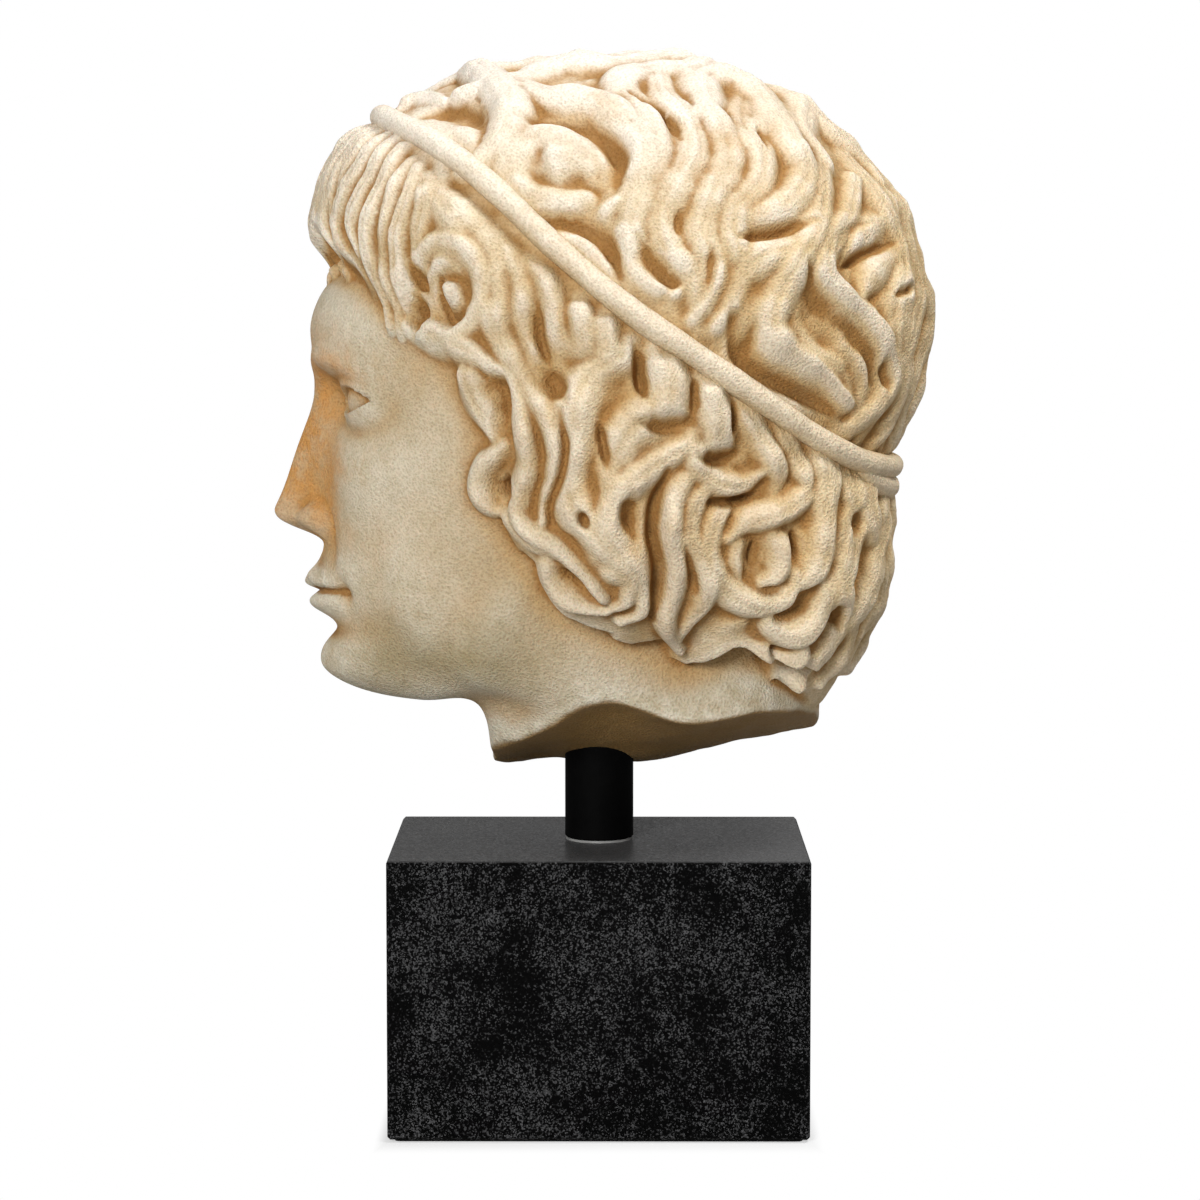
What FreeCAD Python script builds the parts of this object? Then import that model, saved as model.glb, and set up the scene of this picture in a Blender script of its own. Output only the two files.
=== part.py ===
"""Marble head on a round steel post and a granite block, as separate pieces.

Row frame, millimetres: +Z up, origin at the centre of the felt's underside,
the face looks along -Y and the figure's left side is +X.
From the bottom up: felt, granite block with a counterbored hole, clamping nut with
its washers, threaded rod, post tube with its centring rings, and the head, which is
drilled from below for the post and for a bonded threaded insert.
"""
import FreeCAD
import Part

import math
import os

from FreeCAD import Vector

import Sketcher

doc = FreeCAD.newDocument("marble_head")

# ---------------------------------------------------------------- driving dimensions
DIMENSIONS = [
    # granite block
    ("block_depth", 100.0),
    ("block_width", 150.0),
    ("block_height", 100.0),
    ("block_edge_chamfer", 1.0),
    ("felt_thickness", 1.0),
    ("felt_margin", 2.5),
    ("felt_corner", 2.0),
    # rod, nut and washers, metric size 10
    ("rod_dia", 10.0),
    ("rod_length", 197.0),
    ("rod_lift", 9.0),
    ("rod_chamfer", 1.0),
    ("clearance_dia", 11.0),
    ("recess_dia", 34.0),
    ("recess_depth", 24.0),
    ("nut_across_flats", 16.0),
    ("nut_height", 8.4),
    ("nut_corner_rise", 0.6),
    ("nut_corner_inset", 1.0),
    ("spring_washer_dia", 18.1),
    ("spring_washer_bore", 10.4),
    ("spring_washer_height", 2.2),
    ("spring_washer_gap", 1.6),
    ("plate_washer_dia", 30.0),
    ("plate_washer_bore", 10.8),
    ("plate_washer_height", 2.5),
    # post
    ("post_dia", 25.0),
    ("post_wall", 3.0),
    ("post_length", 68.5),
    ("post_end_chamfer", 0.6),
    ("foot_washer_dia", 24.2),
    ("foot_washer_height", 0.8),
    ("centring_ring_height", 6.0),
    ("centring_ring_bore", 10.2),
    ("socket_washer_height", 1.7),
    # drilling in the head
    ("socket_dia", 25.6),
    ("insert_dia", 16.0),
    ("insert_length", 30.0),
    ("insert_bed", 4.0),
    ("resin_hole_dia", 18.0),
    ("resin_hole_depth", 38.0),
    # head
    ("head_height", 235.0),
    ("chin_level", 153.0),
    ("neck_break_level", 127.0),
    ("neck_break_left_slope", 20.0),
    ("neck_break_right_slope", 9.0),
    ("neck_break_rear_slope", 12.0),
    ("neck_break_front_slope", 5.0),
]

sheet = doc.addObject("Spreadsheet::Sheet", "sizes")
for row, (alias, value) in enumerate(DIMENSIONS, start=1):
    sheet.set(f"A{row}", alias)
    sheet.set(f"B{row}", str(value))
    sheet.setAlias(f"B{row}", alias)
doc.recompute()


def size(alias):
    """A driving dimension's number, for placements and for shapes set in code."""
    return float(getattr(sheet, alias))


def bound(target, prop, formula):
    """Binds a property to cells of the sheet: formula names aliases with a leading $."""
    target.setExpression(prop, formula.replace("$", "sizes."))


# ---------------------------------------------------------------- levels of the stack
BLOCK_FOOT = size("felt_thickness")
BLOCK_TOP = BLOCK_FOOT + size("block_height")
RECESS_TOP = BLOCK_FOOT + size("recess_depth")
POST_FOOT = BLOCK_TOP + size("foot_washer_height")
POST_TOP = POST_FOOT + size("post_length")
SOCKET_TOP = POST_TOP + size("socket_washer_height")
INSERT_FOOT = SOCKET_TOP + size("insert_bed")


# ---------------------------------------------------------------- PartDesign helpers
def new_body(name, level=0.0):
    body = doc.addObject("PartDesign::Body", name)
    body.Label = name
    body.Placement = FreeCAD.Placement(Vector(0, 0, level), FreeCAD.Rotation())
    return body


def plane_of(body, role="XY_Plane"):
    return next(f for f in body.Origin.OriginFeatures if f.Role == role)


def new_sketch(body, name, role="XY_Plane"):
    sketch = body.newObject("Sketcher::SketchObject", name)
    sketch.AttachmentSupport = [(plane_of(body, role), "")]
    sketch.MapMode = "FlatFace"
    return sketch


def circle(sketch, diameter_formula):
    """A circle about the sketch's origin whose diameter is bound to the sheet."""
    index = sketch.addGeometry(Part.Circle(Vector(0, 0, 0), Vector(0, 0, 1), 10.0), False)
    sketch.addConstraint(Sketcher.Constraint("Coincident", index, 3, -1, 1))
    datum = sketch.addConstraint(Sketcher.Constraint("Diameter", index, 20.0))
    bound(sketch, f"Constraints[{datum}]", diameter_formula)
    return index


def rectangle(sketch, x_formula, y_formula):
    """A rectangle centred on the sketch's origin, its two sides bound to the sheet."""
    corners = [Vector(-20, -10, 0), Vector(20, -10, 0), Vector(20, 10, 0), Vector(-20, 10, 0)]
    sides = [
        sketch.addGeometry(Part.LineSegment(corners[i], corners[(i + 1) % 4]), False)
        for i in range(4)
    ]
    for i in range(4):
        sketch.addConstraint(
            Sketcher.Constraint("Coincident", sides[i], 2, sides[(i + 1) % 4], 1)
        )
    for i, kind in enumerate(("Horizontal", "Vertical", "Horizontal", "Vertical")):
        sketch.addConstraint(Sketcher.Constraint(kind, sides[i]))
    sketch.addConstraint(Sketcher.Constraint("Symmetric", sides[0], 1, sides[1], 2, -1, 1))
    across = sketch.addConstraint(Sketcher.Constraint("DistanceX", sides[0], 1, sides[0], 2, 40.0))
    along = sketch.addConstraint(Sketcher.Constraint("DistanceY", sides[1], 1, sides[1], 2, 20.0))
    bound(sketch, f"Constraints[{across}]", x_formula)
    bound(sketch, f"Constraints[{along}]", y_formula)


def pad(body, name, sketch, length_formula):
    feature = body.newObject("PartDesign::Pad", name)
    feature.Profile = sketch
    bound(feature, "Length", length_formula)
    return feature


def pocket(body, name, sketch, length_formula=None):
    """Cuts upwards from the body's base plane, right through when no length is given."""
    feature = body.newObject("PartDesign::Pocket", name)
    feature.Profile = sketch
    feature.Reversed = True
    if length_formula is None:
        feature.Type = "ThroughAll"
    else:
        bound(feature, "Length", length_formula)
    return feature


def chamfer(body, name, base, edge_names, size_formula):
    feature = body.newObject("PartDesign::Chamfer", name)
    feature.Base = (base, edge_names)
    bound(feature, "Size", size_formula)
    body.Tip = feature
    return feature


def edges_where(feature, test):
    """Names of a feature's edges that pass a test."""
    return [f"Edge{i}" for i, edge in enumerate(feature.Shape.Edges, start=1) if test(edge)]


def is_circle(edge, radius, level):
    return (
        isinstance(edge.Curve, Part.Circle)
        and abs(edge.Curve.Radius - radius) < 1e-6
        and abs(edge.Curve.Center.z - level) < 1e-6
    )


def ring(name, level, outer_formula, bore_formula, height_formula):
    """A plain ring: two circles in one sketch, padded."""
    body = new_body(name, level)
    sketch = new_sketch(body, name + "_outline")
    circle(sketch, outer_formula)
    circle(sketch, bore_formula)
    pad(body, name + "_pad", sketch, height_formula)
    return body


# ---------------------------------------------------------------- base
def make_felt():
    body = new_body("felt_base")
    sketch = new_sketch(body, "felt_outline")
    rectangle(
        sketch, "$block_depth - 2 * $felt_margin", "$block_width - 2 * $felt_margin"
    )
    sheet_pad = pad(body, "felt_pad", sketch, "$felt_thickness")
    doc.recompute()
    upright = edges_where(
        sheet_pad, lambda e: abs(e.Vertexes[0].Z - e.Vertexes[-1].Z) > 0.5
    )
    rounding = body.newObject("PartDesign::Fillet", "felt_corners")
    rounding.Base = (sheet_pad, upright)
    bound(rounding, "Radius", "$felt_corner")
    body.Tip = rounding
    return body


def make_block():
    """Granite block: bored for the rod, and recessed from below for nut and washers."""
    body = new_body("granite_block", BLOCK_FOOT)
    outline = new_sketch(body, "block_outline")
    rectangle(outline, "$block_depth", "$block_width")
    block_pad = pad(body, "block_pad", outline, "$block_height")
    doc.recompute()
    outer = edges_where(block_pad, lambda e: True)
    edges = chamfer(body, "block_edges", block_pad, outer, "$block_edge_chamfer")
    doc.recompute()
    solid_volume = edges.Shape.Volume
    bore_sketch = new_sketch(body, "bore_outline")
    circle(bore_sketch, "$clearance_dia")
    pocket(body, "rod_bore", bore_sketch)
    recess_sketch = new_sketch(body, "recess_outline")
    circle(recess_sketch, "$recess_dia")
    recess = pocket(body, "nut_recess", recess_sketch, "$recess_depth")
    body.Tip = recess
    doc.recompute()
    removed = solid_volume - body.Shape.Volume
    expected = math.pi / 4 * (
        size("recess_dia") ** 2 * size("recess_depth")
        + size("clearance_dia") ** 2 * (size("block_height") - size("recess_depth"))
    )
    assert abs(removed - expected) < 0.01 * expected, "the block's drilling is incomplete"
    return body


# ---------------------------------------------------------------- clamping hardware
def make_nut():
    """Hexagon nut: a hexagonal prism with its corners turned down at both ends."""
    level = RECESS_TOP - size("plate_washer_height") - size("spring_washer_height")
    prism = doc.addObject("Part::Prism", "nut_prism")
    prism.Polygon = 6
    bound(prism, "Circumradius", "$nut_across_flats / 2 / cos(30)")
    bound(prism, "Height", "$nut_height")
    blank = doc.addObject("Part::Cylinder", "nut_blank")
    bound(blank, "Radius", "$nut_across_flats / 2 / cos(30)")
    bound(blank, "Height", "$nut_height")
    doc.recompute()
    turned = doc.addObject("Part::Chamfer", "nut_turned")
    turned.Base = blank
    turned.Edges = [
        (i, size("nut_corner_rise"), size("nut_corner_inset"))
        for i, edge in enumerate(blank.Shape.Edges, start=1)
        if isinstance(edge.Curve, Part.Circle)
    ]
    body = doc.addObject("Part::Common", "nut_body")
    body.Base = prism
    body.Tool = turned
    bore = doc.addObject("Part::Cylinder", "nut_bore")
    bound(bore, "Radius", "$rod_dia / 2")
    bound(bore, "Height", "$nut_height")
    nut = doc.addObject("Part::Cut", "hex_nut")
    nut.Base = body
    nut.Tool = bore
    nut.Label = "hex_nut"
    nut.Placement = FreeCAD.Placement(
        Vector(0, 0, level - size("nut_height")), FreeCAD.Rotation()
    )
    return nut


def make_spring_washer():
    """Split ring: a square-section ring with a narrow slanted gap."""
    level = RECESS_TOP - size("plate_washer_height") - size("spring_washer_height")
    outer = doc.addObject("Part::Cylinder", "spring_outer")
    bound(outer, "Radius", "$spring_washer_dia / 2")
    bound(outer, "Height", "$spring_washer_height")
    inner = doc.addObject("Part::Cylinder", "spring_inner")
    bound(inner, "Radius", "$spring_washer_bore / 2")
    bound(inner, "Height", "$spring_washer_height")
    whole = doc.addObject("Part::Cut", "spring_ring")
    whole.Base = outer
    whole.Tool = inner
    slot = doc.addObject("Part::Box", "spring_gap")
    bound(slot, "Length", "$spring_washer_dia")
    bound(slot, "Width", "$spring_washer_gap")
    bound(slot, "Height", "3 * $spring_washer_height")
    slot.Placement = FreeCAD.Placement(
        Vector(0, 0, -size("spring_washer_height")),
        FreeCAD.Rotation(Vector(1, 0, 0), 20),
    )
    washer = doc.addObject("Part::Cut", "spring_washer")
    washer.Base = whole
    washer.Tool = slot
    washer.Label = "spring_washer"
    washer.Placement = FreeCAD.Placement(Vector(0, 0, level), FreeCAD.Rotation())
    return washer


def make_rod():
    """Threaded rod at its major diameter, both ends chamfered."""
    body = new_body("threaded_rod", size("rod_lift"))
    sketch = new_sketch(body, "rod_outline")
    circle(sketch, "$rod_dia")
    rod_pad = pad(body, "rod_pad", sketch, "$rod_length")
    doc.recompute()
    ends = edges_where(rod_pad, lambda e: isinstance(e.Curve, Part.Circle))
    chamfer(body, "rod_ends", rod_pad, ends, "$rod_chamfer")
    return body


# ---------------------------------------------------------------- post
def make_post():
    body = new_body("post_tube", POST_FOOT)
    sketch = new_sketch(body, "post_outline")
    circle(sketch, "$post_dia")
    circle(sketch, "$post_dia - 2 * $post_wall")
    tube = pad(body, "post_pad", sketch, "$post_length")
    doc.recompute()
    radius = size("post_dia") / 2
    rims = edges_where(
        tube,
        lambda e: is_circle(e, radius, 0.0) or is_circle(e, radius, size("post_length")),
    )
    chamfer(body, "post_ends", tube, rims, "$post_end_chamfer")
    return body


# ---------------------------------------------------------------- head
# Clay lumps of a head 235 mm high, measured from the chin's level: centre, half sizes
# and how softly each runs into the ones before it. Lumps off the middle are mirrored.
MODEL_HEIGHT = 235.0
LUMPS = [
    ("crown of hair", (0, 14, 135), (93, 107, 100), 0),
    ("hair over the forehead", (0, -34, 170), (76, 72, 59), 18),
    ("hair at the nape", (0, 48, 60), (76, 60, 73), 16),
    ("hair over the ear", (50, 8, 84), (42, 50, 66), 14),
    ("face", (0, -36, 84), (62, 64, 88), 10),
    ("cheek", (32, -62, 66), (27, 28, 26), 12),
    ("jaw", (0, -50, 28), (50, 46, 28), 14),
    ("chin", (0, -80, 14), (23, 19, 15), 12),
    ("lips", (0, -93, 40), (21, 11, 10), 6),
    ("brow", (0, -78, 121), (48, 26, 11), 8),
    ("bridge of the nose", (0, -96, 88), (8, 15, 30), 6),
    ("tip of the nose", (0, -108, 67), (9, 12, 8), 6),
    ("wing of the nose", (10, -99, 64), (7, 10, 7), 4),
    ("hair low on the nape", (0, 50, 20), (58, 41, 42), 14),
    ("neck", (0, 12, -8), (52, 50, 90), 8),
    ("back of the neck", (0, 46, -4), (49, 34, 54), 18),
]
HEAD_CENTRE = Vector(0, 4, 92)
EYE_SOCKET = ((31, -104, 110), (17, 22, 10), 7)
ROWS = 40
COLUMNS = 72
LAST_POLAR = math.radians(158)


def ellipsoid(point, centre, radii):
    """Near enough the distance from a point to an ellipsoid, negative inside it."""
    scaled = [(point[i] - centre[i]) / radii[i] for i in range(3)]
    slope = [scaled[i] / radii[i] for i in range(3)]
    length = math.sqrt(sum(value * value for value in scaled))
    steepness = math.sqrt(sum(value * value for value in slope))
    return length * (length - 1.0) / max(steepness, 1e-9)


def soft_union(first, second, softness):
    if softness <= 0:
        return min(first, second)
    overlap = max(softness - abs(first - second), 0.0) / softness
    return min(first, second) - overlap * overlap * softness / 4


def clay(point):
    """Distance to the head's surface, negative inside the clay."""
    half = (abs(point[0]), point[1], point[2])
    distance = 1e9
    for _name, centre, radii, softness in LUMPS:
        distance = soft_union(distance, ellipsoid(half, centre, radii), softness)
    centre, radii, softness = EYE_SOCKET
    return -soft_union(-distance, ellipsoid(half, centre, radii), softness)


def surface_point(azimuth, polar, scale):
    """Walks in along a ray to the clay's outside. Azimuth 0 is +X, polar 0 is up."""
    ray = (
        math.sin(polar) * math.cos(azimuth),
        math.sin(polar) * math.sin(azimuth),
        math.cos(polar),
    )
    reach = 190.0
    for _step in range(60):
        point = [HEAD_CENTRE[i] + reach * ray[i] for i in range(3)]
        gap = clay(point)
        if abs(gap) < 0.02:
            break
        reach -= 0.7 * gap
    level = size("chin_level")
    return Vector(point[0] * scale, point[1] * scale, level + point[2] * scale)


def head_blank(scale):
    """Closed solid: one cubic surface over a net of poles, from the crown to the neck.

    The net closes on itself round the head and runs together in one point at the
    crown. Its last row is level, and a flat face shuts it there.
    """
    floor = size("neck_break_level") - 15
    net = []
    for row in range(ROWS + 1):
        polar = LAST_POLAR * row / ROWS
        turns = [math.pi / 2 + 2 * math.pi * column / COLUMNS for column in range(COLUMNS)]
        net.append([surface_point(turn, polar, scale) for turn in turns])
    net[-1] = [Vector(pole.x, pole.y, floor) for pole in net[-1]]
    spans = ROWS + 1 - 3
    surface = Part.BSplineSurface()
    surface.buildFromPolesMultsKnots(
        net,
        [4] + [1] * (spans - 1) + [4],
        [1] * (COLUMNS + 1),
        list(range(spans + 1)),
        list(range(COLUMNS + 1)),
        False,
        True,
        3,
        3,
    )
    side = surface.toShape()
    rim = next(e for e in side.Edges if abs(e.BoundBox.ZMax - floor) < 1e-3)
    shell = Part.makeShell([side, Part.Face(Part.Wire(rim))])
    shell.sewShape()
    solid = Part.makeSolid(shell)
    if solid.Volume < 0:
        solid.reverse()
    return solid


def neck_break():
    """Four blocks below the broken neck.

    Each has a sloping top plane through the break's lowest point. The planes rise to
    the left, right, rear and front, and the highest of them at any place is the break.
    """
    lowest = Vector(-10, 15, size("neck_break_level"))
    across = [
        math.tan(math.radians(size("neck_break_left_slope"))),
        -math.tan(math.radians(size("neck_break_right_slope"))),
    ]
    along = [
        math.tan(math.radians(size("neck_break_rear_slope"))),
        -math.tan(math.radians(size("neck_break_front_slope"))),
    ]
    blocks = []
    for slope_x in across:
        for slope_y in along:
            corners = [(-150, -150), (150, -150), (150, 150), (-150, 150), (-150, -150)]
            top = [lowest + Vector(x, y, slope_x * x + slope_y * y) for x, y in corners]
            blocks.append(Part.Face(Part.makePolygon(top)).extrude(Vector(0, 0, -120)))
    return blocks


def head_drilling():
    """Socket for the post and the smaller, deeper hole for the bonded insert."""
    below = 60.0
    socket = Part.makeCylinder(
        size("socket_dia") / 2, SOCKET_TOP - below, Vector(0, 0, below)
    )
    hole = Part.makeCylinder(
        size("resin_hole_dia") / 2, size("resin_hole_depth"), Vector(0, 0, SOCKET_TOP)
    )
    return socket.fuse(hole)


def make_head():
    scale = size("head_height") / MODEL_HEIGHT
    blank = head_blank(scale)
    shape = blank.cut(neck_break()).cut(head_drilling())
    solid = max(shape.Solids, key=lambda s: s.Volume)
    head = doc.addObject("Part::Feature", "marble_head")
    head.Label = "marble_head"
    head.Shape = solid
    return head


def make_resin():
    """Resin that beds the insert: it fills the hole around and above the insert."""
    outer = doc.addObject("Part::Cylinder", "resin_outer")
    bound(outer, "Radius", "$resin_hole_dia / 2")
    bound(outer, "Height", "$resin_hole_depth")
    hollow = doc.addObject("Part::Cylinder", "resin_hollow")
    bound(hollow, "Radius", "$insert_dia / 2")
    bound(hollow, "Height", "$insert_length")
    bound(hollow, "Placement.Base.z", "$insert_bed")
    way_in = doc.addObject("Part::Cylinder", "resin_way_in")
    bound(way_in, "Radius", "$clearance_dia / 2")
    bound(way_in, "Height", "$insert_bed")
    cuts = doc.addObject("Part::Fuse", "resin_cuts")
    cuts.Base = hollow
    cuts.Tool = way_in
    resin = doc.addObject("Part::Cut", "bonding_resin")
    resin.Base = outer
    resin.Tool = cuts
    resin.Label = "bonding_resin"
    resin.Placement = FreeCAD.Placement(Vector(0, 0, SOCKET_TOP), FreeCAD.Rotation())
    return resin


subparts = [
    make_felt(),
    make_block(),
    make_nut(),
    make_spring_washer(),
    ring(
        "plate_washer",
        RECESS_TOP - size("plate_washer_height"),
        "$plate_washer_dia",
        "$plate_washer_bore",
        "$plate_washer_height",
    ),
    make_rod(),
    ring(
        "foot_washer", BLOCK_TOP, "$foot_washer_dia", "$clearance_dia", "$foot_washer_height"
    ),
    make_post(),
    ring(
        "lower_centring_ring",
        POST_FOOT,
        "$post_dia - 2 * $post_wall",
        "$centring_ring_bore",
        "$centring_ring_height",
    ),
    ring(
        "upper_centring_ring",
        POST_TOP - size("centring_ring_height"),
        "$post_dia - 2 * $post_wall",
        "$centring_ring_bore",
        "$centring_ring_height",
    ),
    ring(
        "socket_washer", POST_TOP, "$post_dia", "$clearance_dia", "$socket_washer_height"
    ),
    ring("head_insert", INSERT_FOOT, "$insert_dia", "$rod_dia", "$insert_length"),
    make_resin(),
    make_head(),
]
doc.recompute()

for item in doc.Objects:
    failed = {"Invalid", "Error"} & set(item.State)
    assert not failed, f"{item.Name} is {failed}"
os.makedirs("parts", exist_ok=True)
for part in subparts:
    shape = part.Shape
    assert not shape.isNull() and shape.isValid(), f"{part.Label} has no valid shape"
    assert len(shape.Solids) == 1, f"{part.Label} has {len(shape.Solids)} solids"
    print(part.Label, "volume", round(shape.Volume), shape.BoundBox)
    shape.exportStep(f"parts/{part.Label}.step")
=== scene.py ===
"""A carved marble head, broken at the neck, on a black post and a granite block.

The head is worked out in millimetres as the distance from a point inside it to its
surface, over a grid of directions, and is turned into metres when its mesh is made.
"""
import math

import bpy
import numpy as np
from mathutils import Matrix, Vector


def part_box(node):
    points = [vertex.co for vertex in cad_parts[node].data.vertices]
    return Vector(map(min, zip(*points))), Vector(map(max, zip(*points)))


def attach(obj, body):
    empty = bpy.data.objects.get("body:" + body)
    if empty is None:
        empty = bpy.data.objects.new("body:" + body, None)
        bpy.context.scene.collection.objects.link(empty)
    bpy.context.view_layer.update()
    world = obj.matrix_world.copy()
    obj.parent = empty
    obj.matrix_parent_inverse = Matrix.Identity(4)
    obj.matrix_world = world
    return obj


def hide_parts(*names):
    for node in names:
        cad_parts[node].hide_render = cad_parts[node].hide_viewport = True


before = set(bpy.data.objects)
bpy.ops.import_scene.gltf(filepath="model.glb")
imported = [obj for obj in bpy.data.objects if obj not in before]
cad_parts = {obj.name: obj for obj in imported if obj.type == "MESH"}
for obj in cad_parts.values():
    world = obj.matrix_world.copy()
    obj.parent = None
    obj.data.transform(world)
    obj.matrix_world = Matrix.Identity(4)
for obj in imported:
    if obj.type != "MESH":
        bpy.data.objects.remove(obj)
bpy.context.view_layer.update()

MM = 0.001

# ------------------------------------------------------------------ places in the frame
BLOCK_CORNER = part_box("granite_block")[1]
HEAD_HEIGHT = 235.0
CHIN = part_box("marble_head")[1].z / MM - HEAD_HEIGHT
CENTRE = np.array([0.0, 4.0, CHIN + 92.0])
POLE = np.array([0.0, math.sin(math.radians(36)), math.cos(math.radians(36))])
FRONT = np.array([0.0, -POLE[2], POLE[1]])
LEFT = np.array([1.0, 0.0, 0.0])

COLUMNS = 1000
CROWN_ROWS = 170
LOWER_ROWS = 400
PIECE_TRIANGLES = 196000


# ------------------------------------------------------------------ small mathematics
def smoothstep(low, high, value):
    """0 below low, 1 above high, and a smooth rise between them."""
    share = np.clip((value - low) / (high - low), 0.0, 1.0)
    return share * share * (3 - 2 * share)


def bump(value, centre, width):
    """A bell of height 1 about a centre."""
    return np.exp(-(((value - centre) / width) ** 2))


def soft_min(first, second, softness):
    """The lesser of two fields, rounded where they are nearly equal."""
    overlap = np.maximum(softness - np.abs(first - second), 0.0) / softness
    return np.minimum(first, second) - overlap * overlap * softness / 4


def soft_max(first, second, softness):
    """The greater of two fields, rounded where they are nearly equal."""
    return -soft_min(-first, -second, softness)


def ellipsoid(point, centre, radii):
    """Near enough the distance to an ellipsoid, negative inside it."""
    scaled = [(point[i] - centre[i]) / radii[i] for i in range(3)]
    length = np.sqrt(sum(value**2 for value in scaled))
    steepness = np.sqrt(sum((scaled[i] / radii[i]) ** 2 for i in range(3)))
    return length * (length - 1.0) / np.maximum(steepness, 1e-9)


def smooth_table(knots, width=4.0):
    """A table through (place, value) knots, its corners rounded over a width."""
    knots = np.array(knots, float)
    places = np.arange(knots[0, 0], knots[-1, 0] + 0.5, 0.5)
    values = np.interp(places, knots[:, 0], knots[:, 1])
    reach = int(3 * width / 0.5)
    weights = np.exp(-((np.arange(-reach, reach + 1) * 0.5 / width) ** 2))
    padded = np.pad(values, reach, mode="edge")
    return places, np.convolve(padded, weights / weights.sum(), mode="valid")


def read(table, place):
    """A table's value at a place, on straight lines between its entries."""
    return np.interp(place, table[0], table[1])


LATTICE = np.random.default_rng(7).random((32, 32, 32))


def value_noise(points, scale, octaves=3, shift=0.0):
    """Smooth random values about 0: lattice values blended by smoothstep, in octaves."""
    total = np.zeros(points.shape[:-1])
    strength, spread = 1.0, 0.0
    for octave in range(octaves):
        place = points * (2.0**octave / scale) + shift + 17.3 * octave
        cell = np.floor(place).astype(int)
        part = place - cell
        part = part * part * (3 - 2 * part)
        value = 0.0
        for corner in range(8):
            offset = [(corner >> k) & 1 for k in range(3)]
            weight = 1.0
            for k in range(3):
                weight = weight * (part[..., k] if offset[k] else 1 - part[..., k])
            index = [(cell[..., k] + offset[k]) & 31 for k in range(3)]
            value = value + weight * LATTICE[index[0], index[1], index[2]]
        total += strength * (value - 0.5)
        spread += strength * 0.5
        strength *= 0.5
    return total / spread


# ------------------------------------------------------------------ the face, as clay
# Heights are above the chin; depths are along Y, less being further forward.
PROFILE = smooth_table([
    (-30, -50), (-14, -66), (-4, -80), (4, -91), (12, -97.5), (20, -98), (28, -95.5),
    (38, -97.5), (50, -98.5), (60, -97.5), (75, -97.5), (92, -98.5), (104, -99),
    (112, -100), (122, -103.5), (136, -105), (150, -103.5), (165, -98.5), (180, -90),
    (195, -77), (210, -60),
])
HALF_BREADTH = smooth_table([
    (-30, 20), (-12, 25), (0, 33), (10, 41), (24, 50), (42, 57), (62, 63), (84, 69),
    (105, 71), (125, 71), (150, 70), (180, 64), (210, 50),
], 6.0)
DEPTH = smooth_table([(-30, 42), (0, 56), (30, 70), (70, 80), (110, 84), (210, 84)], 8.0)
NOSE_HEIGHT = smooth_table([
    (54, 0), (57.5, 1.2), (60, 5.5), (62.5, 12.5), (65.5, 18.3), (69, 20), (73, 18.9),
    (80, 15.9), (92, 11.2), (102, 7.2), (110, 4.2), (118, 1.8), (128, 0),
], 1.5)
NOSE_HALF_WIDTH = smooth_table([
    (54, 6), (60, 6.6), (67, 8.0), (74, 7.8), (84, 7.6), (96, 7.6), (108, 8.2), (128, 12),
], 3.0)
EYE = np.array([31.5, -77.0, 110.0])


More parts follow.
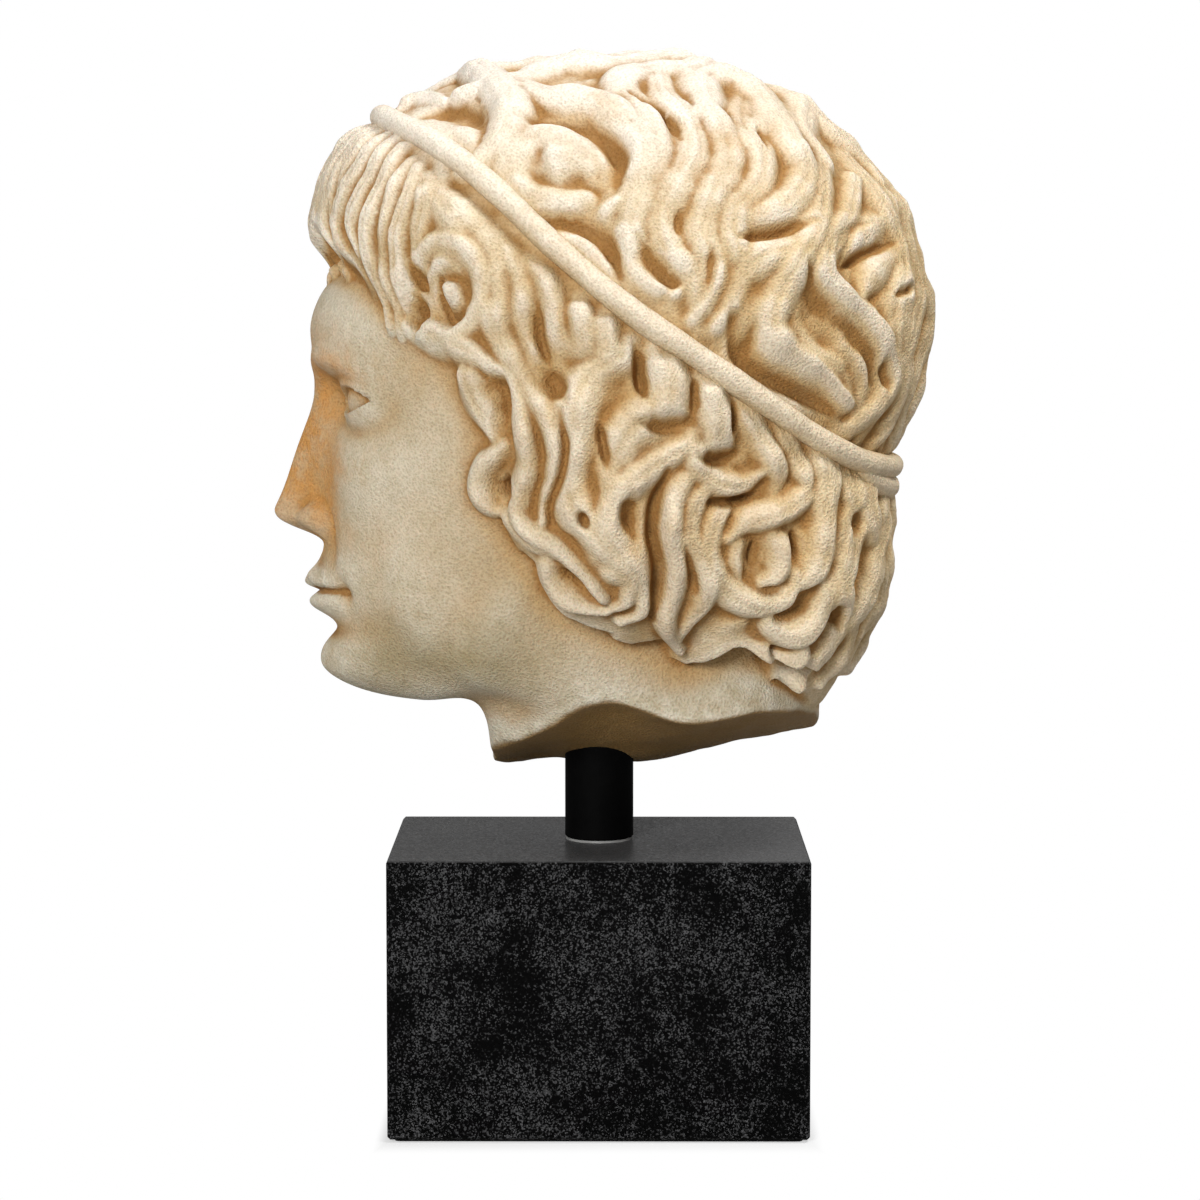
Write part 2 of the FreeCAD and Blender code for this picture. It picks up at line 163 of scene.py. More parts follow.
def front_of_face(x, z):
    """Depth of the face's surface at a place seen from the front.

    A half ellipse across the head at each height gives the mask; bells and ridges add
    nose, eye hollows, brows, lips, chin and cheeks.
    """
    across = np.abs(x)
    share = np.clip(across / read(HALF_BREADTH, z), 0, 0.9995)
    depth = read(PROFILE, z) + read(DEPTH, z) * (1 - np.sqrt(1 - share**2))

    # eye hollows and the brow above them
    hollow = bump(across, 30, 17) * bump(z, 108.5 - 0.06 * (across - 30), 10.5)
    depth += 9.0 * hollow
    depth += 5.2 * bump(across, 16.5, 6.0) * bump(z, 110, 8.5)
    brow = 122.5 - 0.012 * (across - 22) ** 2 + 0.05 * across
    depth -= 3.2 * bump(z, brow, 5.5) * bump(across, 27, 21)
    depth += 1.2 * bump(across, 0, 7) * bump(z, 121, 7)
    depth += 2.2 * bump(across, 60, 12) * bump(z, 122, 14)

    # cheeks, with the soft fold beside nose and mouth
    depth -= 3.4 * bump(across, 40, 17) * bump(z, 80, 15)
    depth -= 1.5 * bump(across, 30, 14) * bump(z, 52, 18)
    fold = 17.5 + 0.28 * (64 - z)
    depth += 1.1 * bump(across, fold, 3.6) * bump(z, 54, 12)

    # the rise round the mouth, and the ball of the chin
    depth -= 4.2 * bump(across, 0, 23) * bump(z, 42, 15)
    depth -= 4.2 * bump(across, 0, 15) * bump(z, 12.5, 10)
    depth += 3.0 * bump(across, 0, 15) * bump(z, 26.5, 4.6)

    # lips
    width = np.clip(1 - (across / 25.5) ** 2, 0, 1)
    meeting = 40.2 + 0.9 * (across / 25) ** 2 - 0.9 * bump(across, 0, 4.5)
    upper = meeting + 4.0 + 1.3 * bump(across, 4.8, 3.4) - 0.6 * (across / 25) ** 2
    lower = meeting - 4.6
    depth -= 4.3 * width * bump(z, upper, 3.9)
    depth -= 0.9 * bump(across, 0, 3.2) * bump(z, meeting + 2.8, 2.6)
    depth -= 5.2 * width * bump(z, lower, 4.5)
    depth += 3.3 * smoothstep(27, 22.5, across) * bump(z, meeting, 1.5)
    depth += 2.6 * bump(across, 25.5, 4.2) * bump(z, 40.6, 4.2)
    depth += 1.1 * bump(across, 0, 2.7) * bump(z, 53, 4.5)
    depth -= 0.5 * bump(across, 5, 2.2) * bump(z, 52, 4.5)

    # nose: a ridge whose height and width change down its length, and its wings
    rise, half = read(NOSE_HEIGHT, z), read(NOSE_HALF_WIDTH, z)
    ridge = 1 / (1 + (across / half) ** 2.8)
    depth -= rise * ridge
    depth -= 2.2 * bump(across, 11, 5.5) * bump(z, 92, 12)
    depth -= 1.0 * bump(across, 0, 6.5) * bump(z, 67.5, 4.2)
    wing = ((across - 12.4) / 5.6) ** 2 + ((z - 66.0) / 6.2) ** 2
    depth -= 7.2 * np.exp(-(wing**1.2))
    nostril = ((across - 7.0) / 3.2) ** 2 + ((z - 60.2) / 2.0) ** 2
    depth += 5.5 * np.exp(-nostril)
    depth += 1.6 * bump(across, 8.6, 2.4) * bump(z, 70.5, 4.0)
    crease = np.sqrt(((across - 11.0) / 8.8) ** 2 + ((z - 64.5) / 8.8) ** 2)
    outside = smoothstep(10, 15, across) * smoothstep(59, 63, z)
    depth += 1.2 * bump(crease, 1.05, 0.16) * outside
    return depth


def eyelids(x, y, z):
    """Lids and eyeball, as a field: a shell round the ball, cut by an almond opening."""
    across = np.abs(x)
    y = y - 0.27 * (across - EYE[0])
    point = (across, y, z)
    turn = (across - EYE[0]) / 15.4
    arch = np.clip(1 - np.abs(turn + 0.10 * (1 - turn**2)) ** 2.2, 0, 1)
    tilt = 0.05 * (across - EYE[0])
    above = z - (EYE[2] + tilt + 5.8 * arch**0.9 - 0.6)
    below = (EYE[2] + tilt - 4.6 * arch**0.9 - 0.6) - z
    opening = soft_max(above, below, 0.6)
    ball = ellipsoid(point, EYE, (14.6, 11.6, 11.8))
    upper = ellipsoid(point, EYE + (0.2, 0.2, 0.6), (17.6, 14.6, 13.6))
    lower = ellipsoid(point, EYE + (0.2, 0.7, -0.8), (17.2, 13.8, 12.4))
    lids = soft_min(upper, lower, 1.0)
    lids = soft_max(lids, -opening, 0.5)
    tear = ellipsoid(point, (EYE[0] - 14.6, EYE[1] - 7.6, EYE[2] - 0.9), (2.6, 2.4, 1.7))
    return lids, soft_min(ball, tear, 1.0)


def skin_field(x, y, z):
    """Distance to the bare head without hair, negative inside: face, skull and neck."""
    across = np.abs(x)
    front = (front_of_face(x, z) - y) * 0.62
    breadth = read(HALF_BREADTH, z) - 7.0 * smoothstep(-34, 10, y)
    face = soft_max(front, across - breadth, 5.0)
    rise = smoothstep(-66, -14, y) * (across / 52) ** 2
    face = soft_max(face, (1.5 + 34 * rise - z) * 0.9, 10.0)
    face = soft_max(face, (z - 168) * 0.8, 30.0)
    face = soft_max(face, (y - 10) * 0.9, 26.0)
    skull = ellipsoid((x, y, z), (0, 6, 126), (73, 96, 92))
    jaw = ellipsoid((across, y, z), (42, -22, 42), (15.5, 46, 36))
    neck_line = y - 16 + 0.10 * (z + 10)
    neck = (np.sqrt((x / 52) ** 2 + (neck_line / 52) ** 2) - 1) * 50
    neck = np.maximum(neck, np.abs(z - 15) - 85)
    field = soft_min(face, skull, 8.0)
    field = soft_min(field, jaw, 16.0)
    field = soft_min(field, neck, 16.0)
    nape = ellipsoid((x, y, z), (0, 46, -4), (49, 34, 54))
    field = soft_min(field, nape, 18.0)
    strap = ellipsoid(
        (across - 0.45 * (z + 10), y - 0.15 * (z + 10), z), (16, -31, 10), (9, 7, 60)
    )
    field = soft_min(field, strap, 12.0)
    lids, ball = eyelids(x, y, z)
    field = soft_min(field, lids, 4.0)
    return np.minimum(field, ball)


HAIR_LUMPS = [
    ((0, 14, 135), (93, 107, 100), 0),
    ((0, -34, 170), (76, 72, 59), 18),
    ((0, 48, 60), (76, 60, 73), 16),
    ((50, 8, 84), (42, 50, 66), 14),
    ((0, 50, 20), (58, 41, 42), 14),
]


def hair_field(x, y, z):
    """Distance to the outer shape of the hair, as plain lumps."""
    point = (np.abs(x), y, z)
    field = None
    for centre, radii, softness in HAIR_LUMPS:
        lump = ellipsoid(point, centre, radii)
        field = lump if field is None else soft_min(field, lump, softness)
    return field


def reach_of(field, rays, start, steps, pace):
    """Walks in along each ray from a start until the field is nought."""
    reach = start.copy()
    for _step in range(steps):
        point = CENTRE + rays * reach[..., None]
        gap = field(point[..., 0], point[..., 1], point[..., 2] - CHIN)
        reach -= pace * gap
    return reach


def rays_of(theta, phi):
    """Unit directions: theta from the crown's pole, phi from the front to the left."""
    return (
        np.cos(theta)[..., None] * POLE
        + (np.sin(theta) * np.cos(phi))[..., None] * FRONT
        + (np.sin(theta) * np.sin(phi))[..., None] * LEFT
    )


def angles_of(points):
    """Pole and turn angles of points, as rays_of takes them."""
    away = points - CENTRE
    away = away / np.linalg.norm(away, axis=-1, keepdims=True)
    theta = np.arccos(np.clip(away @ POLE, -1, 1))
    return theta, np.arctan2(away @ LEFT, away @ FRONT)


def upsample(values, rows, columns):
    """Bilinear values of a coarse table at fractional rows and columns."""
    row = np.clip(np.floor(rows).astype(int), 0, values.shape[0] - 2)
    column = np.floor(columns).astype(int)
    a, b = rows - row, columns - column
    width = values.shape[1]
    left, right = column % width, (column + 1) % width
    top = values[row, left] * (1 - b) + values[row, right] * b
    foot = values[row + 1, left] * (1 - b) + values[row + 1, right] * b
    return top * (1 - a) + foot * a


def solve_surface(field, theta, phi, rays, finish_steps):
    """The surface's distance along every ray: a coarse walk, then a fine finish."""
    coarse_rows, coarse_columns = 121, 180
    coarse_theta = np.linspace(0, math.pi, coarse_rows)[:, None]
    coarse_phi = (2 * math.pi * np.arange(coarse_columns) / coarse_columns)[None, :]
    coarse_theta, coarse_phi = np.broadcast_arrays(coarse_theta, coarse_phi)
    coarse_rays = rays_of(coarse_theta, coarse_phi)
    coarse = reach_of(field, coarse_rays, np.full(coarse_theta.shape, 185.0), 50, 0.75)
    start = upsample(
        coarse,
        theta / math.pi * (coarse_rows - 1),
        (phi % (2 * math.pi)) / (2 * math.pi) * coarse_columns,
    )
    return reach_of(field, rays, start + 0.5, finish_steps, 0.8)


# ------------------------------------------------------------------ places on the head
def head_field(x, y, z):
    """Distance to the head with its hair as plain lumps: the lesser of the two."""
    return np.minimum(skin_field(x, y, z), hair_field(x, y, z))


CHARTS = {  # which two coordinates a list of places gives, and from where it looks
    "side": ((1, 2), np.array([1.0, 0.0, 0.0])),
    "back": ((0, 2), np.array([0.0, 1.0, 0.0])),
    "front": ((0, 2), np.array([0.0, -1.0, 0.0])),
    "top": ((0, 1), np.array([0.0, 0.0, 1.0])),
}


def on_head(chart, places):
    """Points on the head's outer shape under places seen along an axis.

    Each point starts outside the head and walks in along the axis to the surface, or
    to the middle plane where the place lies beside the head.
    """
    kept, axis = CHARTS[chart]
    places = np.array(places, float)
    start = np.tile(CENTRE, (len(places), 1))
    start[:, kept[0]] = places[:, 0]
    start[:, kept[1]] = places[:, 1]
    start -= ((start - CENTRE) @ axis)[:, None] * axis
    reach = np.full(len(places), 150.0)
    for _step in range(90):
        point = start + reach[:, None] * axis
        gap = head_field(point[:, 0], point[:, 1], point[:, 2] - CHIN)
        reach = np.maximum(reach - 0.7 * gap, 0.0)
    return start + reach[:, None] * axis


# ------------------------------------------------------------------ hair band's line
BAND_SIDE = [
    (-72, 366), (-62, 359), (-53, 352), (-39, 341), (-25, 327), (-12, 316), (0, 306),
    (11, 296), (22, 290), (32, 284), (43, 276), (51, 270), (62, 262), (77, 252),
    (95, 243),
]
band_points = np.vstack([
    on_head("front", [(0, 366), (14, 367)]), on_head("side", BAND_SIDE),
    on_head("back", [(30, 239), (12, 238), (0, 238)]),
])
band_angle, band_turn = angles_of(band_points)
BAND_WAVES = np.arange(6)
band_fit = np.linalg.lstsq(np.cos(band_turn[:, None] * BAND_WAVES), band_angle, rcond=None)[0]


def band_theta(phi):
    """The band's angle from the pole, as a few cosine waves round the head."""
    return np.cos(np.asarray(phi)[..., None] * BAND_WAVES) @ band_fit


# ------------------------------------------------------------------ grid of directions
phi_line = 2 * math.pi * np.arange(COLUMNS) / COLUMNS
row_line = np.arange(CROWN_ROWS + LOWER_ROWS + 1)[:, None]
edge = band_theta(phi_line)[None, :]
theta_grid = np.where(
    row_line <= CROWN_ROWS,
    edge * row_line / CROWN_ROWS,
    edge + (math.pi - edge) * (row_line - CROWN_ROWS) / LOWER_ROWS,
)
phi_grid = np.broadcast_to(phi_line[None, :], theta_grid.shape)
ray_grid = rays_of(theta_grid, phi_grid)


def read_grid(values, points):
    """Values of a grid table in the directions of some points."""
    theta, phi = angles_of(points)
    limit = band_theta(phi)
    row = np.where(
        theta <= limit,
        theta / limit * CROWN_ROWS,
        CROWN_ROWS + (theta - limit) / (math.pi - limit) * LOWER_ROWS,
    )
    return upsample(values, row, (phi % (2 * math.pi)) / (2 * math.pi) * COLUMNS)


# ------------------------------------------------------------------ hairline
# Places are (y, z) seen from the figure's left, from the forehead to the nape.
HAIRLINE = np.array([
    (-150, 316), (-101, 314), (-92, 311), (-86, 309), (-81, 305), (-77, 296), (-75, 289),
    (-66, 286), (-62, 290), (-57, 284), (-50, 280), (-48, 275), (-47, 269), (-43, 260),
    (-41, 254), (-37, 250), (-40, 243), (-42, 235), (-40, 228), (-34, 223), (-32, 217),
    (-27, 212), (-20, 211), (-20, 204), (-17, 198), (-11, 192), (-4, 190), (3, 188),
    (3, 184), (11, 180), (17, 183), (21, 184), (24, 174), (30, 173), (35, 181), (39, 192),
    (44, 190), (51, 190), (58, 185), (57, 177), (60, 169), (66, 165), (71, 158), (76, 150),
    (84, 144), (150, 138),
], float)
HAIR_THICKNESS = 6.0


def drift(y, z):
    """How far the figure's right side departs from its left, so the sides differ."""
    return 3.5 * np.sin(z / 21 + 1.0) + 1.5 * np.sin(y / 9), 3.5 * np.sin(y / 24 + 2.0)


def inside_hairline(points):
    """Distance inside the hairline as seen from the side, negative on bare skin.

    The nearest of the outline's pieces gives the distance; the sign changes with each
    piece crossed on the way forwards, over an outline closed above the head.
    """
    y, z = points[..., 1], points[..., 2]
    move_y, move_z = drift(y, z)
    right = smoothstep(0, -12, points[..., 0])
    y, z = y - move_y * right, z - move_z * right
    x = points[..., 0]
    tips = 2.4 * np.sin(x / 4.6 + 0.8) + 1.6 * np.sin(x / 11.0 + 2.0)
    z = z + tips * smoothstep(-76, -92, y)
    around = np.vstack([HAIRLINE, [(150, 600), (-150, 600)]])
    nearest = np.full(y.shape, 1e9)
    inside = np.zeros(y.shape, bool)
    for (y0, z0), (y1, z1) in zip(around, np.roll(around, -1, axis=0)):
        way_y, way_z = y1 - y0, z1 - z0
        t = np.clip(((y - y0) * way_y + (z - z0) * way_z) / (way_y**2 + way_z**2), 0, 1)
        nearest = np.minimum(nearest, np.hypot(y - y0 - t * way_y, z - z0 - t * way_z))
        if z0 != z1:
            inside ^= ((z0 > z) != (z1 > z)) & (y < y0 + (z - z0) * way_y / way_z)
    return np.where(inside, nearest, -nearest)


skin = solve_surface(skin_field, theta_grid, phi_grid, ray_grid, 14)


def evened(values, width):
    """Values averaged over a square about width millimetres wide, twice over.

    Running sums along each row, and down each column, give every window's mean.
    """
    across = 2 * math.pi * np.sin(theta_grid) * skin / COLUMNS
    reach_across = np.clip(width / 2 / np.maximum(across, 1e-3), 0, COLUMNS // 2 - 1)
    down = np.abs(np.gradient(theta_grid, axis=0)) * skin
    reach_down = np.clip(width / 2 / down, 0, 60)
    rows, columns = np.indices(values.shape)
    for _turn in range(2):
        reach = reach_across.astype(int)
        total = np.cumsum(np.hstack([values[:, -1:] * 0, values, values, values]), axis=1)
        high = np.take_along_axis(total, columns + COLUMNS + reach + 1, axis=1)
        low = np.take_along_axis(total, columns + COLUMNS - reach, axis=1)
        values = (high - low) / (2 * reach + 1)
        reach = reach_down.astype(int)
        total = np.cumsum(np.vstack([values[:1] * 0, values]), axis=0)
        top = np.maximum(rows - reach, 0)
        foot = np.minimum(rows + reach + 1, values.shape[0])
        high = np.take_along_axis(total, foot, axis=0)
        low = np.take_along_axis(total, top, axis=0)
        values = (high - low) / (foot - top)
    return values


calm = smoothstep(-64, -46, 4.0 + ray_grid[..., 1] * skin)
skin = skin + calm * (evened(skin, 9.0) - skin)
hair = solve_surface(hair_field, theta_grid, phi_grid, ray_grid, 6) - HAIR_THICKNESS
hair_share = smoothstep(-1.6, 3.0, inside_hairline(CENTRE + ray_grid * skin[..., None]))
floor_radius = skin + hair_share * np.maximum(hair - skin, 0.0)
floor_points = CENTRE + ray_grid * floor_radius[..., None]
flat_points = floor_points.reshape(-1, 3)
flat_hair = hair_share.reshape(-1)


# ------------------------------------------------------------------ locks of hair
def curve_through(points, spacing=1.0):
    """A smooth line through points (Catmull-Rom), sampled about evenly."""
    points = np.asarray(points, float)
    ends = np.vstack([2 * points[0] - points[1], points, 2 * points[-1] - points[-2]])
    length = np.linalg.norm(np.diff(points, axis=0), axis=1).sum()
    total = max(int(length / spacing), 6)
    place = np.linspace(0, len(points) - 1 - 1e-9, total)
    span = place.astype(int)
    t = (place - span)[:, None]
    a, b, c, d = (ends[span + k] for k in range(4))
    return 0.5 * (
        2 * b + (c - a) * t + (2 * a - 5 * b + 4 * c - d) * t**2
        + (3 * b - a - 3 * c + d) * t**3
    )


def settle(points):
    """Moves points along their rays onto the hair's floor."""
    away = points - CENTRE
    away = away / np.linalg.norm(away, axis=1, keepdims=True)
    return CENTRE + away * read_grid(floor_radius, points)[:, None]


class Line:
    """A path over the hair's floor, with its direction and sideways unit vectors."""

    def __init__(self, points):
        """Settles a smooth line on the floor, then takes differences along it."""
        self.points = settle(curve_through(points))
        self.along = np.gradient(self.points, axis=0)
        self.along /= np.linalg.norm(self.along, axis=1, keepdims=True)
        away = self.points - CENTRE
        away /= np.linalg.norm(away, axis=1, keepdims=True)
        side = np.cross(away, self.along)
        self.side = side / np.linalg.norm(side, axis=1, keepdims=True)
        self.share = np.linspace(0, 1, len(self.points))

    def near(self, half_width, reach):
        """Grid places within reach of the path, in half widths: which, and how far.

        Sideways distance is signed; past either end it also counts the overshoot.
        """
        limit = half_width.max() * reach + 1.0
        low, high = self.points.min(0) - limit, self.points.max(0) + limit
        found = np.flatnonzero(
            (flat_points[:, 0] > low[0]) & (flat_points[:, 0] < high[0])
            & (flat_points[:, 1] > low[1]) & (flat_points[:, 1] < high[1])
            & (flat_points[:, 2] > low[2]) & (flat_points[:, 2] < high[2])
        )
        spots = flat_points[found]
        square = (
            (spots**2).sum(1)[:, None] + (self.points**2).sum(1)[None, :]
            - 2 * spots @ self.points.T
        )
        nearest = square.argmin(1)
        gap = spots - self.points[nearest]
        width = half_width[nearest]
        sideways = (gap * self.side[nearest]).sum(1) / width
        ahead = (gap * self.along[nearest]).sum(1)
        last = len(self.points) - 1
        past = np.where(nearest == last, np.maximum(ahead, 0), 0)
        past = past + np.where(nearest == 0, np.maximum(-ahead, 0), 0)
        distance = np.sqrt(sideways**2 + (past / width) ** 2)
        kept = distance < reach
        return found[kept], sideways[kept], distance[kept], nearest[kept]


relief = np.zeros(len(flat_points))


def lay_lock(line, half_width, height, lift=0.0, strands=2, blunt=False):
    """Raises a soft rounded lock along a line, with shallow grooves between strands.

    Across, it falls away as a bell does; along, it narrows to where it springs from
    and, unless it is blunt, to its tip. It joins what is there by a soft maximum.
    """
    share = line.share
    root = smoothstep(-0.05, 0.25, share)
    tip = 0.0 * share if blunt else smoothstep(0.6, 1.0, share)
    width = half_width * (0.65 + 0.35 * root) * (1 - 0.55 * tip)
    length = share * len(share)
    swell = (
        1 + 0.13 * np.sin(length / 6.5 + 9 * half_width)
        + 0.08 * np.sin(length / 2.9 + height)
    )
    rise = height * (0.45 + 0.55 * root) * (1 - 0.3 * tip) * swell
    found, sideways, distance, nearest = line.near(width, 1.35)
    body = np.clip(1 - (distance / 1.35) ** 2, 0, 1) ** 0.95
    comb = np.abs(np.sin(math.pi * strands * (sideways + 1) / 2)) ** 0.7
    groove = 1.2 * (1 - comb) * np.clip(1.15 - distance, 0, 1) * (1 - tip[nearest])
    crest = lift + rise[nearest] * body - groove
    before = relief[found]
    relief[found] = np.where(crest > before - 0.8, soft_max(before, crest, 0.8), before)


def carve(line, half_width, depth):
    """Cuts a hollow along a line: steep on the outside of its bend, gentle inside."""
    ends = smoothstep(0, 0.3, line.share) * smoothstep(1, 0.7, line.share)
    width = half_width * (0.5 + 0.5 * ends)
    found, sideways, distance, nearest = line.near(width, 2.6)
    bend = float(((line.along[-1] - line.along[0]) * line.side[len(line.side) // 2]).sum())
    inner = smoothstep(-0.3, 0.3, sideways * np.sign(bend)) * min(abs(bend) * 1.5, 1.0)
    spread = 1.15 + 1.35 * inner
    bowl = (1 - smoothstep(0.12, 1.0, distance / spread)) * (0.35 + 0.65 * ends[nearest])
    relief[found] -= depth * bowl


# Places are (y, z) in the row frame, seen from the figure's left.
# Each lock: its places from root to tip, half width, height, strands and lift.
LOCKS = [
    # over the band, from the front to the back
    ([(-74, 370), (-66, 374), (-57, 373)], 4, 5, 2, 0),
    ([(-66, 364), (-57, 358), (-50, 359), (-45, 355), (-45, 349)], 3.6, 4.5, 1, 0),
    ([(-61, 380), (-48, 382), (-37, 377), (-31, 368), (-32, 358), (-40, 350), (-48, 346)],
     5.6, 7, 2, 1),
    ([(-36, 378), (-17, 372), (0, 369), (11, 360), (16, 348), (11, 337), (3, 331)],
     5.4, 7, 2, 1),
    ([(0, 344), (-3, 354), (-14, 357), (-25, 354), (-31, 345), (-28, 337), (-17, 334),
      (-4, 336)], 6.2, 7, 2, 0),
    ([(-20, 348), (-11, 349), (-3, 346)], 6.5, 7, 3, 0),
    ([(-33, 328), (-20, 325), (-9, 321), (0, 315), (6, 307)], 3.6, 5.5, 1, 0),
    ([(-22, 320), (-12, 317), (-4, 312), (2, 305)], 2.6, 4, 1, 0),
    ([(4, 383), (12, 372), (19, 359), (20, 346), (14, 334), (11, 323), (13, 312),
      (19, 305), (27, 303)], 4.8, 6.5, 2, 0.3),
    ([(20, 384), (23, 373), (31, 362), (33, 350), (27, 338), (22, 328), (25, 317),
      (32, 309), (34, 300)], 5.6, 6.5, 3, 0),
    ([(36, 381), (37, 369), (44, 358), (45, 346), (39, 335), (36, 323), (40, 312),
      (39, 302), (33, 293)], 5.6, 6.5, 2, 0.4),
    ([(52, 375), (51, 362), (57, 351), (56, 340), (48, 332), (46, 322), (49, 311),
      (46, 300), (41, 291)], 5.4, 6.5, 2, 0),
    ([(66, 369), (67, 356), (73, 345), (68, 335), (58, 329), (48, 327)], 5.6, 6.5, 2, 0.6),
    ([(77, 320), (67, 316), (57, 314), (50, 308), (47, 298)], 5.6, 6.8, 2, 0.2),
    ([(80, 348), (79, 334), (74, 321), (67, 310), (62, 300), (60, 291), (64, 283),
      (73, 277), (82, 271), (89, 262)], 5.4, 7, 2, 0.8),
    ([(92, 343), (89, 330), (81, 319), (79, 309), (87, 299), (97, 290), (103, 279),
      (104, 268), (99, 258)], 4.6, 7, 2, 0.5),
    ([(108, 333), (101, 328), (93, 322), (88, 317)], 4.6, 5.5, 1, 0.2),
    ([(113, 316), (104, 314), (97, 308), (93, 301)], 5.4, 6, 1, 0),
    ([(117, 304), (111, 296), (109, 285), (111, 275), (109, 264), (103, 254)], 4.4, 6, 2, 0),
    # fringe and temple
    ([(-80, 363), (-88, 352), (-95, 341), (-100, 330), (-99, 321)], 3.3, 5.5, 2, 0),
    ([(-77, 361), (-84, 350), (-91, 339), (-95, 328), (-93, 319)], 3.3, 5.5, 2, 0.4),
    ([(-74, 359), (-80, 347), (-86, 336), (-89, 326), (-86, 317)], 3.3, 5.5, 2, 0),
    ([(-71, 355), (-76, 344), (-80, 333), (-82, 322), (-80, 311), (-76, 300), (-73, 289)],
     3.4, 5.8, 2, 0.6),
    ([(-68, 350), (-72, 340), (-75, 330), (-76, 319), (-75, 308), (-72, 297), (-70, 287)],
     3.2, 5.5, 1, 0),
    ([(-65, 347), (-67, 337), (-70, 327), (-71, 317), (-70, 306), (-68, 297), (-66, 288)],
     3.4, 5.8, 2, 0.3),
    ([(-62, 343), (-61, 334), (-63, 325), (-65, 316)], 4, 6, 2, 0),
    ([(-64, 315), (-56, 319), (-47, 317), (-41, 310), (-40, 300), (-44, 292), (-51, 287),
      (-58, 290)], 3.6, 7, 1, 1.2),
    ([(-60, 309), (-53, 312), (-46, 309), (-43, 302)], 2.6, 5, 1, 0),
    ([(-53, 306), (-51, 301), (-52, 297)], 4, 6, 1, 0),
    ([(-62, 342), (-54, 333), (-46, 324), (-38, 314), (-36, 302), (-36, 290), (-31, 279),
      (-24, 268)], 5.6, 6.8, 2, 0.4),
    ([(-50, 333), (-40, 324), (-31, 314), (-27, 303), (-27, 292), (-23, 283)], 4, 6, 1, 0),
    ([(-28, 317), (-19, 307), (-16, 297), (-14, 288), (-7, 283), (2, 282)], 3.8, 5.6, 1, 0),
    ([(-68, 291), (-58, 287), (-50, 284), (-42, 280), (-35, 275)], 4, 7, 2, 0.8),
    # in front of the ear and down to the jaw
    ([(-45, 280), (-46, 270), (-42, 261), (-38, 252)], 4.6, 6, 2, 0),
    ([(-33, 277), (-28, 265), (-26, 254), (-25, 243), (-28, 233), (-28, 224), (-22, 217),
      (-13, 211), (-5, 203), (2, 195)], 3.7, 7, 1, 0.8),
    ([(-28, 272), (-20, 262), (-15, 251), (-14, 240), (-18, 230), (-20, 222)], 3.7, 6.5, 1, 0.3),
    ([(-34, 249), (-40, 242), (-41, 233), (-37, 226), (-31, 224)], 3.3, 6.5, 1, 0.4),
    ([(-34, 228), (-31, 220), (-25, 214), (-16, 210)], 3.4, 6, 1, 0),
    ([(-17, 212), (-19, 204), (-15, 196), (-7, 192), (3, 190)], 3.5, 6.5, 1, 0.2),
    ([(8, 281), (-3, 274), (-8, 263), (-9, 251), (-11, 240), (-9, 229), (-3, 221),
      (3, 213), (8, 205)], 6, 7.5, 2, 0.8),
    ([(28, 263), (16, 259), (8, 251), (4, 242), (4, 231)], 6.4, 6.5, 2, 0),
    ([(32, 250), (22, 244), (13, 238), (6, 231), (3, 222), (6, 213), (12, 206), (16, 198),
      (15, 190), (8, 186)], 4.6, 7.2, 2, 0.5),
    ([(2, 212), (5, 205), (11, 202), (10, 194), (4, 191)], 3.6, 6, 1, 0),
    ([(34, 241), (27, 231), (25, 221), (27, 210), (27, 200), (24, 190), (25, 181), (29, 174)],
     4.2, 7, 1, 0.8),
    ([(40, 237), (34, 228), (32, 218), (35, 209), (38, 201), (36, 193), (31, 185), (28, 177)],
     4, 7, 2, 0.4),
    # tufts cut short under the band
    ([(-7, 301), (-5, 284)], 3.8, 6.5, 2, 0, True),
    ([(2, 296), (3, 282)], 4.2, 6.5, 2, 0.2, True),
    ([(10, 290), (11, 281)], 3, 5, 1, 0, True),
    ([(22, 283), (25, 272), (24, 262)], 5.6, 7.5, 2, 0.6, True),
    ([(37, 273), (41, 262), (42, 250)], 5.2, 7.5, 2, 0.6, True),
    ([(50, 267), (55, 256), (60, 246), (63, 237), (60, 229)], 4.2, 6.5, 2, 0.2),
    ([(64, 259), (68, 248), (72, 239), (74, 230)], 4.2, 6.2, 2, 0),
    ([(78, 251), (80, 240), (79, 228), (77, 216)], 5, 6.2, 2, 0.3),
    # nape
    ([(34, 253), (36, 243), (42, 236), (50, 235), (58, 240)], 4.6, 6.5, 2, 0.2),
    ([(78, 236), (69, 229), (60, 225), (52, 222), (45, 216)], 4.3, 7, 2, 0.8),
    ([(45, 229), (40, 220), (38, 210), (42, 201), (49, 195), (58, 192), (67, 195), (70, 203)],
     4.6, 7.2, 2, 0.6),
    ([(51, 219), (48, 210), (50, 201)], 3, 5, 1, 0),
    ([(58, 221), (64, 213), (63, 204), (57, 200)], 3.7, 6.5, 1, 0.3),
    ([(86, 245), (82, 232), (80, 220), (79, 209), (74, 201), (65, 197)], 4.6, 6.8, 2, 0.4),
    ([(80, 205), (81, 194), (76, 185), (68, 181), (61, 184), (60, 190)], 4.2, 7, 2, 0.5),
    ([(71, 181), (72, 173), (67, 167), (61, 169), (60, 175)], 3.3, 6, 1, 0.3),
    ([(87, 198), (87, 186), (83, 176), (77, 168), (72, 158)], 4.6, 6.5, 2, 0.2),
    ([(94, 192), (92, 179), (87, 168), (81, 159)], 4.2, 6.2, 2, 0),
    ([(93, 240), (93, 228), (89, 217), (87, 206), (89, 195)], 6.4, 6.5, 3, 0),
    ([(105, 236), (106, 223), (102, 211), (99, 199), (100, 188), (95, 177)], 6, 6.5, 3, 0.3),
]
